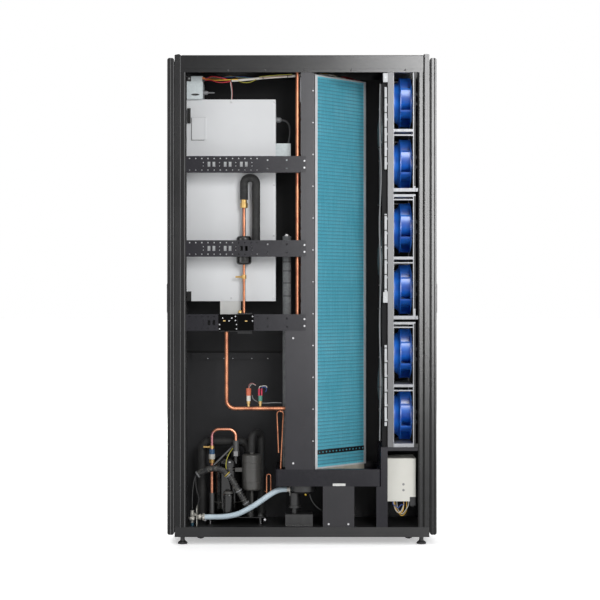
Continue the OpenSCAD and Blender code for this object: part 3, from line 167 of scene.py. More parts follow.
floor_reach = 60.0
floor_level = -0.0005
floor_mesh = bpy.data.meshes.new("floor")
floor_mesh.from_pydata([(x * floor_reach, y * floor_reach, floor_level) for x, y in (
    (-1, -1), (1, -1), (1, 1), (-1, 1))], [], [(0, 1, 2, 3)])
floor = link("floor", floor_mesh)
pale, spot = new_finish("pale_floor")
away = pale.node("VectorMath", {"operation": "LENGTH"}, {0: spot}, "Value")
far_off = ((away - 1.0) / 5.0).limited()
matt = pale.node("BsdfPrincipled", {}, {
    "Base Color": pale.fade(pale.noise(spot, 1.5), 0.86, 0.9), "Roughness": 0.7})
glow = pale.node("Emission", {}, {
    "Color": pale.fade(far_off, 0.42, 0.96, 0.0, 1.0), "Strength": 1.0})
mirrored = (pale.node("LightPath", {}, {}, "Is Camera Ray")
            + pale.node("LightPath", {}, {}, "Is Glossy Ray")).limited()
bright = pale.node("MixShader", {}, {
    0: mirrored, 1: matt, 2: pale.node("AddShader", {}, {0: matt, 1: glow})})
pale.node("OutputMaterial", {}, {"Surface": bright})
floor_mesh.materials.append(pale.owner)

eye_distance = 6.0
eye_height = 1.006
open_side = -0.15
view_width = 2.4438
lens = bpy.data.cameras.new("camera")
lens.sensor_width = 36.0
lens.lens = lens.sensor_width * eye_distance / view_width
lens.shift_x = -1 / 300
lens.shift_y = -1 / 240
lens.clip_end = 200.0
camera = link("camera", lens)
camera.location = (0.0, open_side - eye_distance, eye_height)
camera.rotation_euler = (math.pi / 2, 0.0, 0.0)
bpy.context.scene.camera = camera
bpy.context.scene.view_settings.view_transform = "Standard"


def soft_box(name, at, target, size, watts):
    """A rectangular lamp turned to its target."""
    lamp = bpy.data.lights.new(name, "AREA")
    lamp.shape = "RECTANGLE"
    lamp.size, lamp.size_y = size
    lamp.energy = watts
    made = link(name, lamp)
    made.location = at
    made.rotation_euler = (Vector(target) - Vector(at)).to_track_quat("-Z", "Y").to_euler()
    return made


soft_box("key", (2.35, -6.3, 3.3), (0.2, 0.0, 1.1), (2.3, 2.9), 255.0)
soft_box("fill", (-4.4, -3.2, 2.2), (0.0, 0.0, 1.0), (2.4, 2.6), 45.0)
soft_box("front_side", (5.0, 0.6, 2.2), (0.0, 0.0, 1.0), (2.4, 2.6), 110.0)
soft_box("top", (0.0, -0.6, 5.2), (0.0, 0.0, 1.0), (3.0, 3.0), 70.0)
soft_box("back", (-1.4, 5.6, 3.0), (0.0, 0.0, 1.0), (3.4, 3.0), 300.0)

# ---- Drain hose ----
# A flexible hose of clear bluish plastic with a reinforcing braid, pushed onto the pump's nozzle
# and onto the drain fitting at the rear. It is stiff, and its sag is that of its own weight.


def round_curve(name, radius, steps, sides):
    """An empty curve with a round section."""
    curve = bpy.data.curves.new(name, "CURVE")
    curve.dimensions = "3D"
    curve.resolution_u = steps
    curve.bevel_depth = radius
    curve.bevel_resolution = sides
    curve.use_fill_caps = True
    return curve


def add_line(curve, points, thickness=1.0):
    """Adds a smooth line along the points, so much thicker than the curve's own section."""
    line = curve.splines.new("NURBS")
    line.points.add(len(points) - 1)
    for point, co in zip(line.points, points):
        point.co = (*co, 1.0)
        point.radius = thickness
    line.use_endpoint_u = True
    line.order_u = 4
    return line


def between(points, count):
    """Points of a smooth curve through the given ones, count steps from each to the next."""
    out = []
    for i in range(len(points) - 1):
        a, b, c, d = (Vector(points[max(0, min(len(points) - 1, k))]) for k in range(i - 1, i + 3))
        for k in range(count):
            t = k / count
            out.append(0.5 * (2 * b + (c - a) * t + (2 * a - 5 * b + 4 * c - d) * t * t
                              + (3 * b - a - 3 * c + d) * t ** 3))
    return out + [Vector(points[-1])]


hose_route = [
    (-0.4, -0.09, 0.103), (-0.376, -0.09, 0.103), (-0.345, -0.09, 0.103), (-0.305, -0.09, 0.106),
    (-0.265, -0.091, 0.115), (-0.225, -0.092, 0.134), (-0.185, -0.092, 0.158),
    (-0.148, -0.09, 0.184), (-0.115, -0.087, 0.205), (-0.088, -0.084, 0.215),
    (-0.062, -0.084, 0.216)]
hose_curve = round_curve("clear_hose", 0.0113, 6, 4)
add_line(hose_curve, between(hose_route, 2))
hose = link("clear_hose", hose_curve)
clear, spot = new_finish("hose_plastic")
braid = clear.node("TexWave", {"wave_type": "BANDS", "bands_direction": "DIAGONAL"},
                   {"Vector": spot, "Scale": 120.0, "Distortion": 3.0, "Detail": 1.0})
cloud = clear.noise(spot, 26.0, 4.0)
hose_curve.materials.append(clear.surface(
    Base_Color=clear.fade((braid * 0.3 + cloud * 0.7).limited(), (0.4, 0.5, 0.57),
                          (0.58, 0.68, 0.74), 0.2, 0.8),
    Roughness=0.3, Normal=clear.bump(braid, 0.12, 0.001)))
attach(hose, "cabinet")
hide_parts("drain_hose")

# ---- Cabinet shell ----
# Folded steel sheet and extruded corner posts, powder coated in one satin graphite black with a
# faint orange peel. Painted shade darkens the recesses down both pairs of posts, and painted
# highlights lighten edges down the rear one.


def coat_grain(coat, spot, scale=5.0, peel=900.0):
    """The clouds and the orange peel of a powder coat."""
    return coat.noise(spot, scale, 5.0, 0.6), coat.noise(spot, peel, 2.0)


def powder_coat(name, dark, light, roughness, specular=0.2, peel=900.0):
    """Satin powder coat: two close tones of one colour and a fine orange peel."""
    coat, spot = new_finish(name)
    cloudy, grit = coat_grain(coat, spot, peel=peel)
    return coat.surface(
        Base_Color=coat.fade((cloudy * 0.8 + grit * 0.2).limited(), dark, light, 0.3, 0.72),
        Roughness=roughness + (cloudy - 0.5) * 0.12 + (grit - 0.5) * 0.05,
        Specular_IOR_Level=specular, Normal=coat.bump(grit, 0.1, 0.0004))


def dress(material, *nodes):
    """Gives CAD nodes their finish."""
    for name in nodes:
        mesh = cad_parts[name].data
        mesh.materials.clear()
        mesh.materials.append(material)


def numbered(stem, count):
    """The names of like nodes."""
    return [f"{stem}_{i + 1}" for i in range(count)]


dress(powder_coat("graphite_coat", (0.003, 0.003, 0.0035), (0.005, 0.005, 0.0055), 0.24),
      "top_frame", "roof_panel")
# Painted light: the base frame gets a lighter copy of the graphite coat, so it reads brighter.
dress(powder_coat("base_coat_painted_light", (0.01, 0.01, 0.0105), (0.017, 0.017, 0.0175), 0.34), "base_frame")

profile, spot = new_finish("profile_coat")
across = profile.along(spot, "X")
cloudy, grit = coat_grain(profile, spot)


def strips(axis, *limits):
    """One mask of several strips along an axis."""
    mask = axis.within(*limits[0])
    for low, high in limits[1:]:
        mask = mask + axis.within(low, high)
    return mask.limited()


# Painted shade: near-black strips where the recesses of the posts and doors lie in shadow.
painted_recess_shade = strips(
    across, (-0.4885, -0.4815), (0.4725, 0.479), (0.494, 0.5005), (0.5215, 0.5285),
    (0.5385, 0.5425))
# Painted highlights: light strips along edges of the rear post and door, where they catch the
# light.
painted_edge_highlight = strips(
    across, (-0.5372, -0.5342), (-0.5245, -0.5215), (-0.4965, -0.4935), (-0.48, -0.477))
dress(profile.surface(
    Base_Color=painted_edge_highlight.tint(
        painted_recess_shade.tint(
            profile.fade(cloudy, (0.004, 0.004, 0.0045), (0.007, 0.007, 0.0075), 0.3, 0.72),
            profile.fade(grit, 0.0015, 0.003)),
        profile.fade(grit, (0.075, 0.075, 0.076), (0.105, 0.105, 0.106))),
    Roughness=0.26 + painted_recess_shade * 0.6 + (cloudy - 0.5) * 0.1,
    Specular_IOR_Level=0.22, Normal=profile.bump(grit, 0.03, 0.0003)),
    "corner_posts", "rear_door", "front_door")

far_side, spot = new_finish("far_panel_coat")
up = far_side.along(spot, "Z")
rear_bay = far_side.along(spot, "X").below(-0.068) * far_side.along(spot, "Y").below(0.1455)
rib_top_level = 0.7702
# Painted shadow: a near-black band just above the far panel's rib, where shade lies over it.
painted_rib_shadow = up.within(rib_top_level, 0.779) * rear_bay
lower = up.below(rib_top_level) * rear_bay
cloudy, grit = coat_grain(far_side, spot, 4.0)
dress(far_side.surface(
    Base_Color=painted_rib_shadow.tint(
        lower.tint(
            far_side.fade(cloudy, (0.012, 0.012, 0.013), (0.017, 0.017, 0.018), 0.3, 0.72),
            far_side.fade(cloudy, (0.022, 0.022, 0.0235), (0.032, 0.032, 0.034), 0.3, 0.72)),
        far_side.fade(grit, 0.002, 0.004)),
    Roughness=0.45 + (cloudy - 0.5) * 0.12, Specular_IOR_Level=0.15,
    Normal=far_side.bump(grit, 0.1, 0.0004)), "side_panel")

lit_coats = bpy.data.collections.new("lit_coats")
for name in ("corner_posts", "top_frame", "base_frame", "rear_door", "front_door", "cross_rails",
             "inner_posts", "drip_tray", "pedestal", "partition", "liquid_line", "discharge_line",
             *numbered("impeller", 6)):
    lit_coats.objects.link(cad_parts[name])
sheen = soft_box("sheen", (1.5, -6.3, 2.15), (0.9, 0.0, 1.5), (1.7, 3.2), 700.0)
sheen.visible_diffuse = False
sheen.light_linking.receiver_collection = lit_coats


def block(shape, low, high):
    """A box between two corners."""
    made = bmesh.ops.create_cube(shape, size=1.0)["verts"]
    for corner in made:
        corner.co = Vector([low[i] + (corner.co[i] + 0.5) * (high[i] - low[i]) for i in range(3)])


def ring(shape, middle, across, up, radius, sides):
    """A ring of corners round a point."""
    return [shape.verts.new(middle + radius * (
        across * math.cos(k * math.tau / sides) + up * math.sin(k * math.tau / sides)))
        for k in range(sides)]


def close(shape, rings):
    """Closes a row of rings of corners into a skin with two ends."""
    for low, high in zip(rings, rings[1:]):
        for k in range(len(low)):
            shape.faces.new((low[k], low[k - 1], high[k - 1], high[k]))
    shape.faces.new(rings[0])
    shape.faces.new(rings[-1])


def turned(shape, at, axis, profile, sides=32):
    """A turned form round an axis: the profile gives distances along it and radii."""
    axis = Vector(axis).normalized()
    across = axis.orthogonal().normalized()
    up = axis.cross(across)
    close(shape, [ring(shape, Vector(at) + axis * step, across, up, radius, sides)
                  for step, radius in profile])


def hoop(shape, at, axis, half_width, inner, outer, sides=28):
    """A flat ring round an axis."""
    turned(shape, at, axis, [(-half_width, inner), (-half_width, outer), (half_width, outer),
                             (half_width, inner)], sides)


def piece(name, shape, material, ease, body="cabinet"):
    """Makes one piece of the shape, with its edges eased so much, on its CAD body."""
    bmesh.ops.recalc_face_normals(shape, faces=shape.faces)
    mesh = bpy.data.meshes.new(name)
    shape.to_mesh(mesh)
    shape.free()
    mesh.polygons.foreach_set("use_smooth", [True] * len(mesh.polygons))
    mesh.set_sharp_from_angle(angle=math.radians(35))
    mesh.materials.append(material)
    made = link(name, mesh)
    if ease:
        bevel = made.modifiers.new("ease", "BEVEL")
        bevel.width = ease
        bevel.segments = 2
        bevel.limit_method = "ANGLE"
    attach(made, body)
    return made


# ---- Perforated skins of the doors ----
# Thin steel sheet punched with staggered round holes, welded inside each window of the doors.
# The holes' radius and the pitch of their rows are in pitches along a row.

punched, spot = new_finish("punched_sheet")
hole_pitch = 0.0064
hole_radius = 0.36
row_pitch = math.sqrt(3) / 2
column = punched.along(spot, "Y") / hole_pitch
level = punched.along(spot, "Z") / (hole_pitch * row_pitch)
shifted = column + (level.math("FLOOR") * 0.5).math("FRACT")
from_hole = (((shifted.math("FRACT") - 0.5) ** 2.0
              + ((level.math("FRACT") - 0.5) * row_pitch) ** 2.0) ** 0.5)
grain = punched.noise(spot, 900.0, 2.0)
punched_sheet = punched.surface(
    Base_Color=punched.fade(grain, (0.01, 0.01, 0.011), (0.016, 0.016, 0.018)),
    Roughness=0.4, Specular_IOR_Level=0.15, Alpha=from_hole.above(hole_radius),
    Normal=punched.bump(grain, 0.1, 0.0004))


def door_skin(name, windows, face, body):
    """Flat punched sheets behind the windows of a door."""
    shape = bmesh.new()
    side = 0.114
    for low, high in windows:
        shape.faces.new([shape.verts.new((face, y, z)) for y, z in (
            (-side, low), (side, low), (side, high), (-side, high))])
    piece(name, shape, punched_sheet, 0, body)


door_skin("front_door_skin", [(0.074, 1.359), (1.541, 1.947)], 0.5486, "front_door")
door_skin("rear_door_skin", [(0.074, 1.947)], -0.5486, "rear_door")

# ---- Door handles ----
# Quarter-turn levers of glass-filled black nylon, with a turned grip line along the middle.
# Each sits on the spindle of its door's lock.


def moulded(name, dark, light, roughness, scale=12.0, specular=0.5):
    """Moulded plastic: slight flow clouds and a fine grain."""
    made, spot = new_finish(name)
    flow = made.noise(spot, scale)
    grain = made.noise(spot, 1400.0, 1.0)
    return made.surface(
        Base_Color=made.fade(flow, dark, light),
        Roughness=roughness + (flow - 0.5) * 0.1, Specular_IOR_Level=specular,
        Normal=made.bump(grain, 0.06, 0.0003))


black_plastic = moulded("black_plastic", (0.01, 0.01, 0.011), (0.018, 0.018, 0.019), 0.42)
dress(black_plastic, "front_handle", "rear_handle")

# ---- Operating panel ----
# Black moulded frame with a dark glass screen and four soft keys with white rings, set into
# the front door between its two windows.

panel, spot = new_finish("panel_plastic")
across = panel.along(spot, "Y")
up = panel.along(spot, "Z")
key_pitch = 0.022
keys_reach = 2 * key_pitch
key_place = ((across + keys_reach) / key_pitch).math("FRACT") - 0.5
key_round = ((key_place * key_pitch) ** 2.0 + (up - 1.406) ** 2.0) ** 0.5
key_ring = key_round.within(0.0042, 0.0054) * across.within(-keys_reach, keys_reach)
glass = across.within(-0.0435, 0.0435) * up.within(1.4365, 1.5075)
grain = panel.noise(spot, 1200.0, 1.0)
glassy = panel.noise(spot, 18.0, 2.0)
frame_tone = key_ring.tint(
    panel.fade(grain, (0.012, 0.012, 0.013), (0.02, 0.02, 0.022)), (0.55, 0.56, 0.56))
glass_tone = panel.fade(glassy, (0.004, 0.007, 0.01), (0.008, 0.014, 0.02))
dress(panel.surface(
    Base_Color=glass.tint(frame_tone, glass_tone),
    Roughness=0.42 - glass * 0.34, Normal=panel.bump(grain, 0.05, 0.0003)), "display_panel")

# ---- Rails, inner posts, tray and stands ----
# Folded sheet in a black coat that leans to violet, which carries the pipework and the coil.
# The posts of the fans have a lighter grey coat, and the top of the stands is pale.

dress(powder_coat("inner_black_coat", (0.006, 0.0055, 0.009), (0.0105, 0.01, 0.0145), 0.28,
                  specular=0.14), "cross_rails", "drip_tray", "partition", "fan_motors")

posts, spot = new_finish("post_coat")
cloudy, grit = coat_grain(posts, spot)
fan_post = posts.along(spot, "X").above(0.3)
dress(posts.surface(
    Base_Color=fan_post.tint(
        posts.fade(cloudy, (0.01, 0.0095, 0.0135), (0.016, 0.015, 0.02), 0.3, 0.72),
        posts.fade(cloudy, (0.1, 0.1, 0.105), (0.14, 0.14, 0.146), 0.3, 0.72)),
    Roughness=0.31 + (cloudy - 0.5) * 0.1, Specular_IOR_Level=0.18,
    Normal=posts.bump(grit, 0.05, 0.0004)), "inner_posts")

stand, spot = new_finish("stand_coat")
cloudy, grit = coat_grain(stand, spot)
pale_plate = stand.along(spot, "Z").above(0.2372)
dress(stand.surface(
    Base_Color=pale_plate.tint(
        stand.fade(cloudy, (0.0125, 0.012, 0.015), (0.019, 0.018, 0.021), 0.3, 0.72),
        stand.fade(cloudy, (0.6, 0.6, 0.58), (0.7, 0.7, 0.68), 0.3, 0.72)),
    Roughness=0.42 + (cloudy - 0.5) * 0.12, Specular_IOR_Level=0.15,
    Normal=stand.bump(grit, 0.1, 0.0004)), "pedestal")

# ---- Air plate between coil and fans ----
# Black sheet with three pressed covers of bare steel, each held by a ring of small screws.
# The nozzles of the fans are riveted to its front side.

plate, spot = new_finish("air_plate")
across = plate.along(spot, "Y")
up = plate.along(spot, "Z")
cover_pitch = 0.521
level = ((up - 0.646) / cover_pitch + 0.5).math("FRACT") - 0.5
from_middle = (across ** 2.0 + (level * cover_pitch) ** 2.0) ** 0.5
cover = from_middle.below(0.1275) * plate.along(spot, "X").below(0.3279)
cloudy = plate.noise(spot, 6.0, 4.0)
spun = plate.node("TexWave", {"wave_type": "RINGS", "rings_direction": "X"},
                  {"Vector": spot, "Scale": 90.0, "Distortion": 1.0}, "Fac")
dress(plate.surface(
    Base_Color=cover.tint(
        plate.fade(cloudy, (0.0035, 0.0035, 0.004), (0.006, 0.006, 0.0065)),
        plate.fade(cloudy, (0.1, 0.125, 0.13), (0.17, 0.2, 0.205))),
    Metallic=cover * 0.7, Roughness=0.44 - cover * 0.1 + cloudy * 0.06,
    Specular_IOR_Level=0.15, Normal=plate.bump(spun, 0.04, 0.0004)), "bulkhead")

# ---- Fan modules ----
# Bent galvanised sheet: each module holds two plug fans, with its nozzles riveted to the plate.
# The front flange of the modules is black.


def galvanised(name, dark, light, roughness=0.38, metallic=0.55):
    """Zinc with a small spangle, black where it lies at the front flange of the fan modules."""
    zinc, spot = new_finish(name)
    up = zinc.along(spot, "Z")
    flange = zinc.along(spot, "X").above(0.4565) * (1.0 - strips(up, (0.9, 0.96), (1.42, 1.46)))
    crystal = zinc.node("TexVoronoi", {}, {"Vector": spot, "Scale": 170.0}, "Color")
    marks = zinc.noise(spot, 14.0, 5.0, 0.6)
    return zinc.surface(
        Base_Color=flange.tint(
            zinc.fade(crystal * 0.35 + marks * 0.65, dark, light),
            zinc.fade(marks, 0.004, 0.009)),
        Metallic=metallic - flange * metallic, Roughness=roughness + (marks - 0.5) * 0.2,
        Normal=zinc.bump(marks, 0.05, 0.0006))


dress(galvanised("fan_frame_zinc", (0.27, 0.275, 0.29), (0.36, 0.365, 0.38)), "fan_frames",
      "fan_inlet_rings")

# ---- Impellers ----
# Backward-curved wheels moulded in glossy blue plastic, each round its outer-rotor motor.
# Faint rings show how the plastic flowed.

blue, spot = new_finish("impeller_blue")
flow = blue.noise(spot, 9.0, 4.0)
gate = blue.node("TexWave", {"wave_type": "RINGS", "rings_direction": "X"},
                 {"Vector": spot, "Scale": 6.0, "Distortion": 4.0, "Detail": 2.0}, "Fac")
grain = blue.noise(spot, 1300.0, 1.0)
dress(blue.surface(
    Base_Color=blue.fade(
        flow * 0.7 + gate * 0.3, (0.004, 0.085, 0.5), (0.01, 0.19, 0.78), 0.25, 0.75),
    Roughness=0.4 + (flow - 0.5) * 0.12, Specular_IOR_Level=0.5,
    Normal=blue.bump(grain, 0.03, 0.0003)), *numbered("impeller", 6))

# ---- Coil ----
# Aluminium fins with a blue-green coating on copper tubes, in a casing of white painted sheet.
# A black perforated strap crosses it near the foot, where it stands in the tray.

fins, spot = new_finish("coated_fins")
up = fins.along(spot, "Z")
tube_pitch = 0.0145
fin_pitch = 0.00635
row = (up * (math.tau / tube_pitch)).math("SINE")
tube_row = ((row - 0.45) * 2.5).limited()
fine_rows = (up * (math.tau / fin_pitch)).math("SINE")
wash = fins.noise(spot, 7.0, 6.0, 0.65)
speck = fins.noise(spot, 260.0, 2.0)
streak = fins.node("Mapping", {}, {"Vector": spot, "Scale": (60.0, 60.0, 2.2)})
brushed = fins.noise(streak, 4.0, 3.0)
teal = fins.ramp((wash * 0.4 + speck * 0.3 + brushed * 0.3).limited(),
                 (0.3, (0.08, 0.47, 0.6)), (0.5, (0.14, 0.6, 0.74)), (0.72, (0.26, 0.72, 0.84)))
lined = (tube_row * (0.15 + wash * 0.8) + (fine_rows * 0.5 + 0.5) * 0.1).limited().tint(
    teal, fins.fade(brushed, (0.09, 0.2, 0.3), (0.16, 0.29, 0.39), 0.35, 0.65))
dress(fins.surface(
    Base_Color=lined, Roughness=0.4 + speck * 0.1, Specular_IOR_Level=0.6,
    Normal=fins.bump(row + fine_rows * 0.4 + speck * 0.5, 0.22, 0.001)), "coil_fins")

casing, spot = new_finish("coil_casing")
up = casing.along(spot, "Z")
ahead = (casing.along(spot, "X") - 0.061) * math.sqrt(0.5)
aside = (casing.along(spot, "Y") + 0.125) * math.sqrt(0.5)
strap = up.within(0.3625, 0.3815) * (ahead + aside).within(0.0005, 0.2815)
skirt = up.below(0.3045)
marks = casing.noise(spot, 16.0, 6.0, 0.65)
dress(casing.surface(
    Base_Color=strap.tint(skirt.tint(
        casing.fade(marks, (0.56, 0.57, 0.58), (0.68, 0.69, 0.7)),
        casing.fade(marks, (0.42, 0.39, 0.32), (0.58, 0.55, 0.47))),
        casing.fade(marks, (0.008, 0.008, 0.009), (0.016, 0.016, 0.017))),
    Roughness=0.42 + (marks - 0.5) * 0.2, Normal=casing.bump(marks, 0.04, 0.0006)),
    "coil_casing")

# ---- Copper lines ----
# Drawn copper tube with a brown film, and heat marks near the brazed joints. The discharge
# line has black sleeves and a dull nut.


def copper(name, clean, brown, roughness=0.28):
    """Drawn tube with a brown film in clouds and fine draw marks."""
    metal, spot = new_finish(name)
    film = metal.noise(spot, 20.0, 6.0, 0.65)
    fine = metal.noise(spot, 320.0, 3.0)
    return metal.surface(
        Base_Color=metal.fade((film * 0.8 + fine * 0.2).limited(), brown, clean, 0.36, 0.62),
        Metallic=0.8, Roughness=roughness + film * 0.2, Normal=metal.bump(fine, 0.08, 0.0004))


dress(copper("copper_tube", (0.31, 0.13, 0.068), (0.14, 0.048, 0.026), 0.34), "liquid_line",
      "coil_tubes")

loop, spot = new_finish("discharge_copper")
up = loop.along(spot, "Z")
right = loop.along(spot, "X").above(-0.3)
film = loop.noise(spot, 24.0, 6.0, 0.65)
fine = loop.noise(spot, 320.0, 3.0)
sleeve = (right * up.within(0.3654, 0.4095) + up.below(0.1905)).limited()
nut = right * up.within(0.345, 0.3654)
scorched = up.within(0.33, 0.445) * loop.along(spot, "X").below(-0.33)
bare = loop.fade((film * 0.8 + fine * 0.2).limited(), (0.19, 0.068, 0.042),
                 (0.38, 0.165, 0.098), 0.36, 0.62)
aged = (scorched * film).tint(bare, (0.16, 0.06, 0.12))
dress(loop.surface(
    Base_Color=nut.tint(
        sleeve.tint(aged, loop.fade(fine, (0.022, 0.022, 0.023), 0.045)),
        loop.fade(film, (0.05, 0.05, 0.052), 0.11)),
    Metallic=0.8 - sleeve * 0.8, Roughness=0.3 + film * 0.2 + sleeve * 0.25,
    Normal=loop.bump(fine, 0.08, 0.0004)), "discharge_line")

# ---- Insulated lines ----
# Black closed-cell foam sleeves over the suction pipes, with faint dust that is thickest on the
# riser. Bands hold the riser, and a steel cap ends it.

foam, spot = new_finish("foam_sleeve")
cells = foam.noise(spot, 420.0)
scuff = foam.noise(spot, 30.0, 7.0, 0.72, 1.4)
low = foam.along(spot, "Z").below(0.9)
riser = foam.along(spot, "X").within(-0.085, -0.04) * foam.along(spot, "Z").above(0.31)
high_tone = foam.fade(scuff, 0.014, (0.04, 0.04, 0.038), 0.46, 0.72)
low_tone = foam.ramp(scuff, (0.46, 0.011), (0.6, (0.018, 0.018, 0.0175)),
                     (0.74, (0.05, 0.048, 0.044)))
riser_tone = foam.fade(scuff, (0.095, 0.1, 0.104), (0.165, 0.17, 0.172), 0.4, 0.66)
dress(foam.surface(
    Base_Color=riser.tint(low.tint(high_tone, low_tone), riser_tone),
    Roughness=0.6 + cells * 0.15,
    Specular_IOR_Level=0.35, Normal=foam.bump(cells, 0.3, 0.0009)),
    "suction_line", "insulated_line")

bands = bmesh.new()
riser_at = (-0.0625, -0.08)
for z in (1.0122, 1.0657, 1.1152, 1.1523):
    hoop(bands, (*riser_at, z), (0, 0, 1), 0.0022, 0.0165, 0.0183, 40)
piece("riser_bands", bands, black_plastic, 0.0003)

riser_cap = bmesh.new()
turned(riser_cap, (*riser_at, 1.2585), (0, 0, 1),
       [(0.0, 0.011), (0.003, 0.011), (0.0045, 0.008), (0.0075, 0.008), (0.0085, 0.0065),
        (0.0085, 0.002)])
piece("riser_cap", riser_cap, galvanised("cap_steel", 0.4, 0.58, 0.3, 0.9), 0.0003)

# ---- Compressor, accumulator and drier ----
# Pressed steel shells, the compressor and the drier in semi-gloss black enamel. The accumulator
# and the weld beads have a duller dark coat. The compressor stands on rubber grommets.

dress(powder_coat("black_enamel", 0.003, (0.006, 0.006, 0.0062), 0.16, specular=0.5,
                  peel=300.0), "compressor", "filter_drier")
primer = powder_coat("accumulator_coat", (0.04, 0.039, 0.036), (0.064, 0.062, 0.058), 0.36,
                     specular=0.5, peel=300.0)
dress(primer, "accumulator")
beads = bmesh.new()
for at, radius, levels in (((-0.313, 0.035), 0.058, (0.152, 0.292)),
                           ((-0.209, -0.02), 0.04, (0.2415, 0.3225))):
    for z in levels:
        turned(beads, (*at, z), (0, 0, 1),
               [(-0.003, radius - 0.001), (-0.0018, radius + 0.0012), (0.0, radius + 0.0017),
                (0.0018, radius + 0.0012), (0.003, radius - 0.001)], 48)
turned(beads, (-0.305, -0.048, 0.1985), (0, 0, 1),
       [(-0.004, 0.0205), (0.003, 0.0205), (0.006, 0.017), (0.006, 0.004)])
piece("shell_welds", beads, primer, 0.0004)

grommets = bmesh.new()
for x in (-0.38, -0.172):
    turned(grommets, (x, -0.056, 0.0985), (0, 0, 1),
           [(0.0, 0.0085), (0.0, 0.0125), (0.004, 0.0135), (0.01, 0.0105), (0.012, 0.0105),
            (0.012, 0.005), (0.017, 0.005), (0.017, 0.002)], 24)
piece("compressor_grommets", grommets, moulded("grommet_rubber", 0.008, 0.016, 0.62),
      0.0004)

# ---- Valves ----
# Black mounting blocks with dull plates on the lowest rail, brass unions on the lines, and the
# service valve and drain fitting of nickelled brass at the rear. The screws of the far panel's
# rib are one piece with those of the plates.

valves, spot = new_finish("valve_metals")
ahead = valves.along(spot, "X")
up = valves.along(spot, "Z")
film = valves.noise(spot, 60.0, 5.0)
fine = valves.noise(spot, 500.0, 2.0)
housing = ahead.within(-0.345, -0.203) * up.within(0.855, 0.945)
blue_band = ahead.within(-0.4, -0.35) * up.within(0.352, 0.3735)
white_body = ahead.within(-0.4, -0.35) * up.within(0.331, 0.3525)
fitting = ahead.below(-0.398) * up.below(0.16)
teal_nut = ahead.below(-0.4375) * up.below(0.0835)
brassy = valves.fade(film, (0.36, 0.22, 0.07), (0.62, 0.42, 0.16), 0.35, 0.65)
banded = blue_band.tint(brassy, valves.fade(film, (0.03, 0.08, 0.17), (0.05, 0.12, 0.22)))
bodied = white_body.tint(banded, valves.fade(film, (0.5, 0.49, 0.45), (0.64, 0.63, 0.58)))
nickel = fitting.tint(bodied, valves.ramp(
    film, (0.36, (0.06, 0.06, 0.058)), (0.48, (0.3, 0.29, 0.26)), (0.62, (0.62, 0.6, 0.54))))
fitted = teal_nut.tint(nickel, valves.fade(film, (0.01, 0.045, 0.075), (0.02, 0.075, 0.11)))
block_tone = valves.fade(film, (0.008, 0.008, 0.009), (0.017, 0.017, 0.018))
dress(valves.surface(
    Base_Color=housing.tint(fitted, block_tone),
    Metallic=(0.85 - housing - blue_band - white_body - fitting * 0.5).limited(),
    Roughness=0.34 + fine * 0.12 + housing * 0.1, Normal=valves.bump(fine, 0.06, 0.0004)),
    "refrigerant_valves")

plates = bmesh.new()
block(plates, (-0.341, -0.1492, 0.8705), (-0.2625, -0.1478, 0.9372))
block(plates, (-0.2615, -0.1492, 0.8715), (-0.1965, -0.1478, 0.9372))
piece("valve_plates", plates, powder_coat("plate_black", 0.001, 0.002, 0.6, specular=0.04),
      0.0003)

trim = bmesh.new()
for x, levels in (
        (-0.336, (0.896, 0.878)), (-0.323, (0.922,)), (-0.297, (0.911,)), (-0.286, (0.922,)),
        (-0.267, (0.896, 0.878)), (-0.271, (0.929, 0.9125)), (-0.2015, (0.929, 0.911))):
    for z in levels:
        turned(trim, (x, -0.1488, z), (0, -1, 0),
               [(0.0, 0.0027), (0.0006, 0.0027), (0.001, 0.002), (0.001, 0.0008)], 20)
for x in (-0.402, -0.333, -0.295, -0.214, -0.146):
    turned(trim, (x, 0.1346, 0.746), (0, -1, 0),
           [(0.0, 0.0021), (0.0012, 0.0021), (0.0018, 0.0015), (0.0018, 0.0006)], 20)
piece("valve_screws", trim,
      galvanised("screw_zinc", (0.42, 0.42, 0.43), (0.58, 0.58, 0.6), 0.3, 0.9), 0.0002)

caps = bmesh.new()
turned(caps, (-0.2548, -0.09, 0.9418), (0, 0, 1),
       [(0.0, 0.0088), (0.006, 0.0088), (0.009, 0.0078), (0.012, 0.005), (0.0125, 0.002)], 24)
for x, z in ((-0.3167, 0.911), (-0.2275, 0.91)):
    block(caps, (x - 0.005, -0.1497, z - 0.0022), (x + 0.005, -0.149, z + 0.0022))
piece("valve_caps", caps, copper("cap_brass", (0.62, 0.44, 0.18), (0.4, 0.26, 0.09)),
      0.0003)

# ---- Pressure switches ----
# Brass flare nuts with plastic bodies: a white one with a red cap, and a green one with two red
# terminals.

switches, spot = new_finish("switch_plastics")
up = switches.along(spot, "Z")
second = switches.along(spot, "X").above(-0.195)
film = switches.noise(spot, 80.0, 4.0)
low_body = up.within(0.5815, 0.6035)
head = up.above(0.6035)
brassy = switches.fade(film, (0.4, 0.25, 0.09), (0.66, 0.46, 0.2), 0.35, 0.65)
shell = second.tint(switches.fade(film, (0.6, 0.58, 0.52), (0.72, 0.7, 0.65)),
                    switches.fade(film, (0.05, 0.2, 0.15), (0.1, 0.28, 0.21)))
cap = second.tint(switches.fade(film, (0.48, 0.1, 0.05), (0.62, 0.16, 0.08)),
                  switches.fade(film, (0.42, 0.02, 0.05), (0.58, 0.04, 0.09)))
dress(switches.surface(
    Base_Color=head.tint(low_body.tint(brassy, shell), cap),
    Metallic=(0.85 - low_body - head).limited(), Roughness=0.34 + film * 0.1,
    Normal=switches.bump(film, 0.05, 0.0003)), "pressure_switches")

# ---- Electrical enclosure ----
# White powder-coated steel case with a lift-off cover. A raised access lid, a black latch strip
# and a black corner clip lie on the cover.

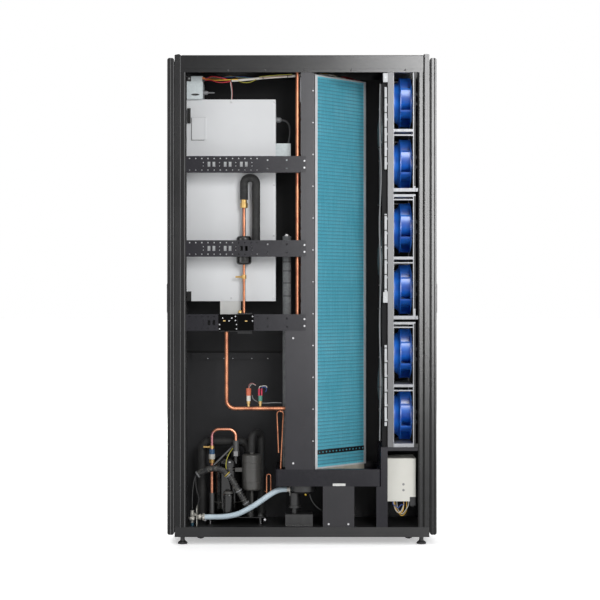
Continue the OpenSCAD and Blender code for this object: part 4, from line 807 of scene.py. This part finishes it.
enclosure, spot = new_finish("enclosure_white")
ahead = enclosure.along(spot, "X")
up = enclosure.along(spot, "Z")
proud = enclosure.along(spot, "Y").below(-0.0484)
latch = proud * ahead.within(-0.475, -0.46) * up.within(1.72, 1.792)
clip = proud * ahead.within(-0.478, -0.457) * up.within(0.988, 1.032)
# A grey line round the raised lid, with painted shade heaviest along its left and bottom edges.
lid_line_and_shade = (ahead.within(-0.4592, -0.4562) * up.within(1.6565, 1.751)
            + ahead.within(-0.4592, -0.405) * up.within(1.6565, 1.6585)
            + ahead.within(-0.4592, -0.396) * up.within(1.75, 1.7512) * 0.4
            + ahead.within(-0.405, -0.4038) * up.within(1.6565, 1.751) * 0.25).limited()
cloudy = enclosure.noise(spot, 3.0, 4.0)
grit = enclosure.noise(spot, 900.0, 2.0)
white = enclosure.fade(cloudy, (0.68, 0.69, 0.7), (0.73, 0.74, 0.75))
black = enclosure.fade(grit, 0.003, 0.006)
dress(enclosure.surface(
    Base_Color=(latch + clip).limited().tint(
        lid_line_and_shade.tint(white, enclosure.fade(grit, 0.1, 0.13)), black),
    Roughness=0.42 + (cloudy - 0.5) * 0.08, Specular_IOR_Level=0.3,
    Normal=enclosure.bump(grit, 0.08, 0.0003)),
    "electrical_box", "electrical_cover")

# ---- Junction boxes ----
# Galvanised steel boxes over and beside the enclosure, and a white plastic one under it.
# The upper one has an inspection window, an oval slot and a grey cable gland. A second gland
# sits on the enclosure's side.

boxes, spot = new_finish("junction_boxes")
ahead = boxes.along(spot, "X")
up = boxes.along(spot, "Z")
plastic = up.below(0.9925)
terminals = ahead.within(-0.4125, -0.401) * up.within(1.898, 1.917)
top_terminal = terminals * up.above(1.9075)
crystal = boxes.node("TexVoronoi", {}, {"Vector": spot, "Scale": 160.0}, "Color")
marks = boxes.noise(spot, 14.0, 5.0, 0.6)
zinc = boxes.fade(crystal * 0.3 + marks * 0.7, (0.56, 0.62, 0.63), (0.68, 0.74, 0.75))
cased = plastic.tint(zinc, boxes.fade(marks, (0.58, 0.58, 0.56), (0.68, 0.68, 0.66)))
black = boxes.fade(marks, (0.012, 0.012, 0.013), (0.022, 0.022, 0.023))
orange = boxes.fade(marks, (0.55, 0.15, 0.03), (0.68, 0.22, 0.05))
dress(boxes.surface(
    Base_Color=top_terminal.tint(terminals.tint(cased, black), orange),
    Roughness=0.42 + (marks - 0.5) * 0.2, Normal=boxes.bump(marks, 0.05, 0.0006)),
    "junction_boxes")

box_front = -0.066
window = bmesh.new()
block(window, (-0.4758, box_front - 0.0012, 1.8985), (-0.458, box_front + 0.001, 1.9195))
for k in range(12):
    x = -0.4575 + 0.0028 * (k + 0.5)
    half = 0.0042 * math.sqrt(max(0.15, 1 - ((k - 5.5) / 6) ** 2))
    block(window, (x - 0.00141, box_front - 0.0008, 1.844 - half),
          (x + 0.00141, box_front + 0.001, 1.844 + half))
piece("box_window", window, black_plastic, 0)

lamp_dot = bmesh.new()
turned(lamp_dot, (-0.466, box_front - 0.001, 1.9105), (0, -1, 0),
       [(0.0, 0.0038), (0.0012, 0.0036), (0.0018, 0.0022), (0.0018, 0.0008)], 24)
piece("box_indicator", lamp_dot,
      moulded("pale_plastic", (0.5, 0.5, 0.49), (0.62, 0.62, 0.6), 0.4), 0.0002)

gland = bmesh.new()
turned(gland, (-0.41, -0.036, 1.8555), (1, 0, 0),
       [(0.0, 0.01), (0.004, 0.01), (0.005, 0.0086), (0.016, 0.0086), (0.0205, 0.006),
        (0.022, 0.003), (0.042, 0.0026), (0.048, 0.0012)])
turned(gland, (-0.1092, 0.015, 1.748), (1, 0, 0),
       [(0.0, 0.013), (0.005, 0.013), (0.0065, 0.011), (0.017, 0.011), (0.022, 0.0075),
        (0.0235, 0.005)])
grey_plastic = moulded("grey_plastic", (0.15, 0.155, 0.16), (0.24, 0.245, 0.25), 0.45)
piece("box_gland", gland, grey_plastic, 0.0004)

# ---- Wiring ----
# Stranded PVC wires, tied in runs: from the upper box along the top and over the coil, beside
# the fan posts, to the pressure switches, under the fan controller, from the enclosure's gland
# and down the rear corner.

harness = round_curve("harness", 0.001, 4, 3)
tones = {
    "red": (0.5, 0.02, 0.035), "yellow": (0.72, 0.42, 0.03), "white": (0.62, 0.6, 0.55),
    "blue": (0.03, 0.08, 0.35), "pink": (0.55, 0.2, 0.2), "grey": (0.2, 0.205, 0.21),
    "dark_grey": (0.055, 0.056, 0.058), "black": (0.012, 0.012, 0.013),
    "brown": (0.28, 0.12, 0.05), "green": (0.04, 0.22, 0.09), "earth": (0.46, 0.42, 0.05)}
for name, light in tones.items():
    dark = tuple(part * 0.8 for part in light)
    harness.materials.append(moulded(f"wire_{name}", dark, light, 0.38, 40.0))


def wire(colour, radius, points):
    """One run of the harness through the points."""
    line = add_line(harness, between(points, 3), radius / harness.bevel_depth)
    line.material_index = list(tones).index(colour)


wire("red", 0.0022, [
    (-0.4015, -0.055, 1.912), (-0.389, -0.056, 1.9126), (-0.372, -0.07, 1.918),
    (-0.33, -0.088, 1.91), (-0.303, -0.095, 1.9), (-0.2926, -0.095, 1.899)])
wire("red", 0.002, [
    (-0.4015, -0.05, 1.906), (-0.389, -0.051, 1.9056), (-0.372, -0.064, 1.903),
    (-0.35, -0.078, 1.894), (-0.325, -0.09, 1.8905), (-0.2926, -0.099, 1.894)])
wire("yellow", 0.0024, [
    (-0.4015, -0.046, 1.911), (-0.385, -0.05, 1.909), (-0.36, -0.07, 1.903),
    (-0.33, -0.086, 1.901), (-0.295, -0.099, 1.9005), (-0.262, -0.101, 1.9015)])
for colour, lift in (("green", 0.0), ("blue", 0.003), ("brown", -0.003)):
    wire(colour, 0.0011, [
        (-0.4015, -0.046, 1.914), (-0.375, -0.052, 1.916 + lift), (-0.34, -0.06, 1.913 + lift),
        (-0.3, -0.075, 1.918 - lift), (-0.255, -0.084, 1.912 + lift), (-0.2, -0.092, 1.909)])
wire("white", 0.005, [
    (-0.292, -0.097, 1.897), (-0.24, -0.097, 1.9), (-0.16, -0.097, 1.908), (-0.09, -0.097, 1.913),
    (-0.04, -0.086, 1.917), (0.0, -0.088, 1.9224), (0.038, -0.1, 1.9224), (0.06, -0.1, 1.9224)])
for colour, side in (("brown", -0.0032), ("earth", 0.003)):
    wire(colour, 0.0013, [
        (-0.175, -0.1015, 1.9095 + side), (-0.13, -0.1025, 1.9135 + side),
        (-0.08, -0.101, 1.9175 + side), (-0.04, -0.0915, 1.921 + side)])
wire("earth", 0.0012, [
    (-0.262, -0.101, 1.8965), (-0.24, -0.102, 1.8885), (-0.212, -0.102, 1.89),
    (-0.188, -0.1015, 1.9015)])
wire("pink", 0.0013, [
    (-0.2926, -0.0985, 1.895), (-0.2895, -0.088, 1.88), (-0.288, -0.062, 1.855),
    (-0.29, -0.045, 1.8262)])
wire("white", 0.0013, [
    (-0.2945, -0.0985, 1.895), (-0.2935, -0.087, 1.88), (-0.2905, -0.061, 1.855),
    (-0.2925, -0.045, 1.8262)])
wire("yellow", 0.003, [
    (0.06, -0.094, 1.9202), (0.08, -0.08, 1.926), (0.11, -0.05, 1.929), (0.14, -0.02, 1.927),
    (0.16, 0.0, 1.9202)])
wire("white", 0.0032, [
    (0.066, -0.105, 1.9204), (0.09, -0.079, 1.9235), (0.12, -0.048, 1.927),
    (0.15, -0.018, 1.9225), (0.18, 0.012, 1.9204)])
for slack, lift in ((0.0, 0.0), (0.006, 0.0045)):
    wire("red", 0.0024, [
        (0.135, -0.012 + slack, 1.92), (0.165, 0.017 + slack, 1.925 + lift),
        (0.2, 0.053 + slack, 1.926 + lift), (0.24, 0.092 + slack, 1.924),
        (0.262, 0.112 + slack, 1.92)])
for tone, slack in (("yellow", 0.0), ("blue", 0.008)):
    wire(tone, 0.0018, [
        (0.19, 0.046 + slack, 1.9195), (0.225, 0.082 + slack, 1.9255),
        (0.258, 0.112 + slack, 1.9195)])
wire("pink", 0.0011, [
    (-0.219, -0.104, 0.634), (-0.216, -0.104, 0.65), (-0.204, -0.096, 0.654),
    (-0.19, -0.088, 0.646)])
wire("white", 0.001, [
    (-0.217, -0.104, 0.634), (-0.211, -0.104, 0.647), (-0.203, -0.097, 0.651),
    (-0.19, -0.089, 0.6435)])
wire("white", 0.0016, [
    (-0.176, -0.104, 0.6325), (-0.174, -0.104, 0.64), (-0.162, -0.104, 0.643),
    (-0.148, -0.101, 0.643), (-0.144, -0.099, 0.636)])
wire("blue", 0.0013, [
    (-0.165, -0.104, 0.6335), (-0.16, -0.104, 0.64), (-0.149, -0.101, 0.636),
    (-0.146, -0.098, 0.627), (-0.15, -0.096, 0.618)])
wire("grey", 0.0022, [
    (-0.205, -0.098, 0.604), (-0.2, -0.095, 0.588), (-0.18, -0.091, 0.576),
    (-0.15, -0.088, 0.571), (-0.12, -0.084, 0.573), (-0.084, -0.08, 0.572)])
wire("grey", 0.0026, [
    (0.3192 - 0.0002 * (i % 2), -0.112, 1.7 - 0.2 * i) for i in range(7)])
wire("grey", 0.003, [
    (0.32, -0.122, 1.88), (0.318, -0.126, 1.7), (0.324, -0.128, 1.5), (0.316, -0.126, 1.3),
    (0.323, -0.128, 1.1), (0.317, -0.126, 0.9), (0.322, -0.126, 0.7), (0.318, -0.12, 0.42)])
wire("dark_grey", 0.0022, [
    (0.325, -0.118, 1.88), (0.3225, -0.121, 1.7), (0.3185, -0.123, 1.5), (0.3215, -0.121, 1.3),
    (0.3175, -0.123, 1.1), (0.322, -0.121, 0.9), (0.3175, -0.121, 0.7), (0.3215, -0.116, 0.42)])
for colour, start, drop in (("white", 0.376, 0.124), ("yellow", 0.38, 0.121),
                            ("blue", 0.372, 0.1435)):
    wire(colour, 0.0019, [
        (start, -0.096, 0.1697), (start + 0.001, -0.098, 0.156),
        (start + 0.008, -0.108, drop + 0.01), (start + 0.022, -0.112, drop),
        (start + 0.034, -0.106, drop + 0.012), (0.418, -0.098, 0.156), (0.418, -0.097, 0.1697)])
for colour, shift in (("black", 0.0), ("white", 0.004), ("yellow", -0.004)):
    wire(colour, 0.0017, [
        (0.386 + shift, -0.09, 0.1697), (0.387 + shift, -0.091, 0.152),
        (0.394, -0.097, 0.132 + shift), (0.41, -0.101, 0.113 + shift),
        (0.428, -0.098, 0.132 + shift), (0.434 + shift, -0.092, 0.154),
        (0.434 + shift, -0.091, 0.1697)])
wire("black", 0.0024, [
    (-0.4345, -0.069, 0.2726), (-0.441, -0.07, 0.264), (-0.448, -0.076, 0.236),
    (-0.452, -0.086, 0.18), (-0.45, -0.102, 0.145), (-0.45, -0.104, 0.1334)])
wire("black", 0.0024, [
    (-0.4345, -0.063, 0.2726), (-0.44, -0.062, 0.262), (-0.436, -0.06, 0.21),
    (-0.426, -0.056, 0.17), (-0.44, -0.058, 0.12), (-0.442, -0.06, 0.0704)])
wire("dark_grey", 0.0042, [
    (-0.2885, -0.012, 0.386), (-0.297, -0.022, 0.378), (-0.318, -0.035, 0.358),
    (-0.345, -0.048, 0.332), (-0.366, -0.058, 0.312)])
wire("earth", 0.0016, [
    (-0.288, -0.016, 0.378), (-0.3, -0.03, 0.362), (-0.312, -0.042, 0.335),
    (-0.315, -0.052, 0.31), (-0.312, -0.058, 0.296)])
wire("dark_grey", 0.0045, [
    (-0.0865, 0.015, 1.748), (-0.066, 0.014, 1.743), (-0.052, 0.012, 1.722),
    (-0.05, 0.008, 1.685), (-0.058, 0.004, 1.645)])
wire("black", 0.0022, [
    (0.028, -0.092, 0.2045), (0.033, -0.096, 0.192), (0.04, -0.098, 0.172), (0.056, -0.098, 0.15),
    (0.072, -0.098, 0.137), (0.0855, -0.098, 0.13)])
wires = link("wire_harness", harness)
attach(wires, "cabinet")
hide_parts("wiring")

knots = bmesh.new()
for at, way, radius in (
        ((-0.2905, -0.0985, 1.8975), (1, 0, 0.05), 0.0062),
        ((-0.16, -0.097, 1.908), (1, 0, 0.1), 0.0064),
        ((-0.06, -0.092, 1.9155), (1, 0.3, 0.05), 0.006),
        *(((0.3195, -0.119, z), (0, 0, 1), 0.0105) for z in (1.62, 1.385, 0.96, 0.64))):
    hoop(knots, at, way, 0.0016, radius - 0.001, radius)
piece("wire_ties", knots, black_plastic, 0.0002)

# ---- Conduit ----
# Black ribbed polyamide conduit from the rear wires to the compressor's base, with four grey
# ties and a yellow one.

conduit_route = [
    (-0.434, -0.066, 0.273), (-0.415, -0.066, 0.285), (-0.388, -0.066, 0.296),
    (-0.358, -0.066, 0.3), (-0.326, -0.066, 0.29), (-0.298, -0.066, 0.265),
    (-0.272, -0.065, 0.225), (-0.246, -0.064, 0.18), (-0.22, -0.062, 0.136),
    (-0.211, -0.062, 0.1012)]
middle = between(conduit_route, 20)
ribs = bmesh.new()
rings = []
for i, point in enumerate(middle):
    ahead = (middle[min(i + 1, len(middle) - 1)] - middle[max(i - 1, 0)]).normalized()
    out = Vector((0, 1, 0)) - ahead * ahead.y
    out.normalize()
    radius = 0.0136 if i % 4 < 2 else 0.0112
    rings.append(ring(ribs, point, out, ahead.cross(out), radius, 20))
close(ribs, rings)
conduit, spot = new_finish("conduit_plastic")
scuff = conduit.noise(spot, 60.0, 6.0, 0.7, 1.2)
grain = conduit.noise(spot, 900.0, 2.0)
ribbed = piece("ribbed_conduit", ribs, conduit.surface(
    Base_Color=conduit.ramp(scuff, (0.45, (0.016, 0.016, 0.0165)), (0.56, (0.05, 0.05, 0.048)),
                            (0.66, (0.22, 0.21, 0.18))),
    Roughness=0.42 + grain * 0.12, Normal=conduit.bump(grain, 0.1, 0.0004)), 0)
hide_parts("conduit")

clamps = bmesh.new()
for i in (6, 96, 128, 150):
    hoop(clamps, middle[i], middle[i + 1] - middle[i - 1], 0.0025, 0.013, 0.0145)
piece("conduit_ties", clamps, grey_plastic, 0.0003)
yellow_tie = bmesh.new()
hoop(yellow_tie, middle[92], middle[93] - middle[91], 0.0018, 0.0134, 0.0146)
piece("yellow_tie", yellow_tie,
      moulded("tie_yellow", (0.42, 0.3, 0.03), (0.55, 0.4, 0.05), 0.4), 0.0003)

# ---- Condensate pump ----
# Moulded black bowl and column over a base with the motor, with a pale nozzle for the hose and
# a yellow plug.

pump, spot = new_finish("pump_plastics")
nozzle = pump.along(spot, "X").below(-0.0485) * pump.along(spot, "Z").above(0.19)
flow = pump.noise(spot, 14.0, 4.0)
grain = pump.noise(spot, 1200.0, 1.0)
dress(pump.surface(
    Base_Color=nozzle.tint(
        pump.fade(flow, (0.009, 0.009, 0.0092), (0.016, 0.016, 0.0162)),
        pump.fade(flow, (0.6, 0.58, 0.53), (0.7, 0.68, 0.63))),
    Roughness=0.42 + (flow - 0.5) * 0.15, Normal=pump.bump(grain, 0.06, 0.0003)),
    "condensate_pump")

plug = bmesh.new()
turned(plug, (0.015, -0.106, 0.2035), (0, 0, -1),
       [(0.0, 0.005), (0.005, 0.005), (0.0065, 0.0036), (0.01, 0.0036), (0.0105, 0.001)], 24)
piece("pump_plug", plug, moulded("plug_yellow", (0.55, 0.36, 0.02), (0.68, 0.46, 0.04), 0.4),
      0.0003)

# ---- Fan controller ----
# Cream plastic housing with two grey plugs on its face and a black connector in its lower step.
# A dark bracket carries it from behind.

controller, spot = new_finish("controller_cream")
stud = controller.along(spot, "Y").below(-0.1082)
bracket = controller.along(spot, "Y").above(0.0425)
cloudy = controller.noise(spot, 7.0, 4.0)
grain = controller.noise(spot, 1000.0, 1.0)
cream = controller.fade(cloudy, (0.72, 0.71, 0.65), (0.79, 0.78, 0.72))
greyed = stud.tint(cream, controller.fade(grain, (0.26, 0.26, 0.25), (0.32, 0.32, 0.31)))
dress(controller.surface(
    Base_Color=bracket.tint(greyed, controller.fade(grain, 0.05, 0.07)),
    Roughness=0.42 + (cloudy - 0.5) * 0.1, Normal=controller.bump(grain, 0.05, 0.0003)),
    "inverter_box")

connector = bmesh.new()
block(connector, (0.4425, -0.106, 0.152), (0.4655, -0.03, 0.1876))
for y in (-0.098, -0.08, -0.062, -0.044):
    turned(connector, (0.4535, y, 0.1525), (0, 0, -1),
           [(0.0, 0.0058), (0.0045, 0.0058), (0.006, 0.0046), (0.006, 0.0015)], 24)
piece("controller_connector", connector, black_plastic, 0.0006)

# ---- Cable ducts ----
# White plastic trunking that stands beside the fan posts and carries the cables of the fans.
# Black ties close it every 60 mm.

ducts, spot = new_finish("duct_white")
up = ducts.along(spot, "Z")
tie_pitch = 0.06
band = (up / tie_pitch).math("FRACT").within(0.3, 0.37) * ducts.along(spot, "Y").above(-0.1446)
flow = ducts.noise(spot, 18.0, 4.0)
grain = ducts.noise(spot, 1200.0, 1.0)
dress(ducts.surface(
    Base_Color=band.tint(
        ducts.fade(flow, (0.46, 0.47, 0.48), (0.6, 0.61, 0.62)),
        ducts.fade(flow, (0.01, 0.01, 0.011), (0.018, 0.018, 0.019))),
    Roughness=0.4 + flow * 0.1, Normal=ducts.bump(grain, 0.05, 0.0003)), "cable_ducts")

# ---- Screws ----
# Zinc-plated pan heads that fix the rails, boxes and panels. Those of the head rail are
# painted over with it.

screws, spot = new_finish("screw_heads")
plating = screws.noise(spot, 180.0, 3.0)
painted = screws.along(spot, "Z").above(1.92)
dress(screws.surface(
    Base_Color=painted.tint(
        screws.fade(plating, (0.42, 0.42, 0.43), (0.66, 0.66, 0.67), 0.35, 0.65),
        screws.fade(plating, (0.03, 0.03, 0.031), (0.05, 0.05, 0.051), 0.35, 0.65)),
    Metallic=0.85 - painted * 0.85, Roughness=0.3 + plating * 0.15,
    Normal=screws.bump(plating, 0.1, 0.0004)), "fasteners")

# ---- Feet and casters ----
# Levelling feet of black nylon on threaded stems, and swivel casters: zinc forks with grey
# rubber treads.

dress(black_plastic, *numbered("foot", 4))
dress(galvanised("caster_zinc", (0.3, 0.3, 0.31), (0.44, 0.44, 0.45), 0.34, 0.8),
      *numbered("caster_fork", 4))
wheel, spot = new_finish("wheel_rubber")
dust = wheel.noise(spot, 70.0, 5.0, 0.65)
grain = wheel.noise(spot, 700.0, 2.0)
dress(wheel.surface(
    Base_Color=wheel.fade(dust, (0.05, 0.05, 0.052), (0.12, 0.12, 0.118), 0.4, 0.66),
    Roughness=0.55 + (dust - 0.5) * 0.2, Normal=wheel.bump(grain, 0.12, 0.0004)),
    *numbered("caster_wheel", 4))
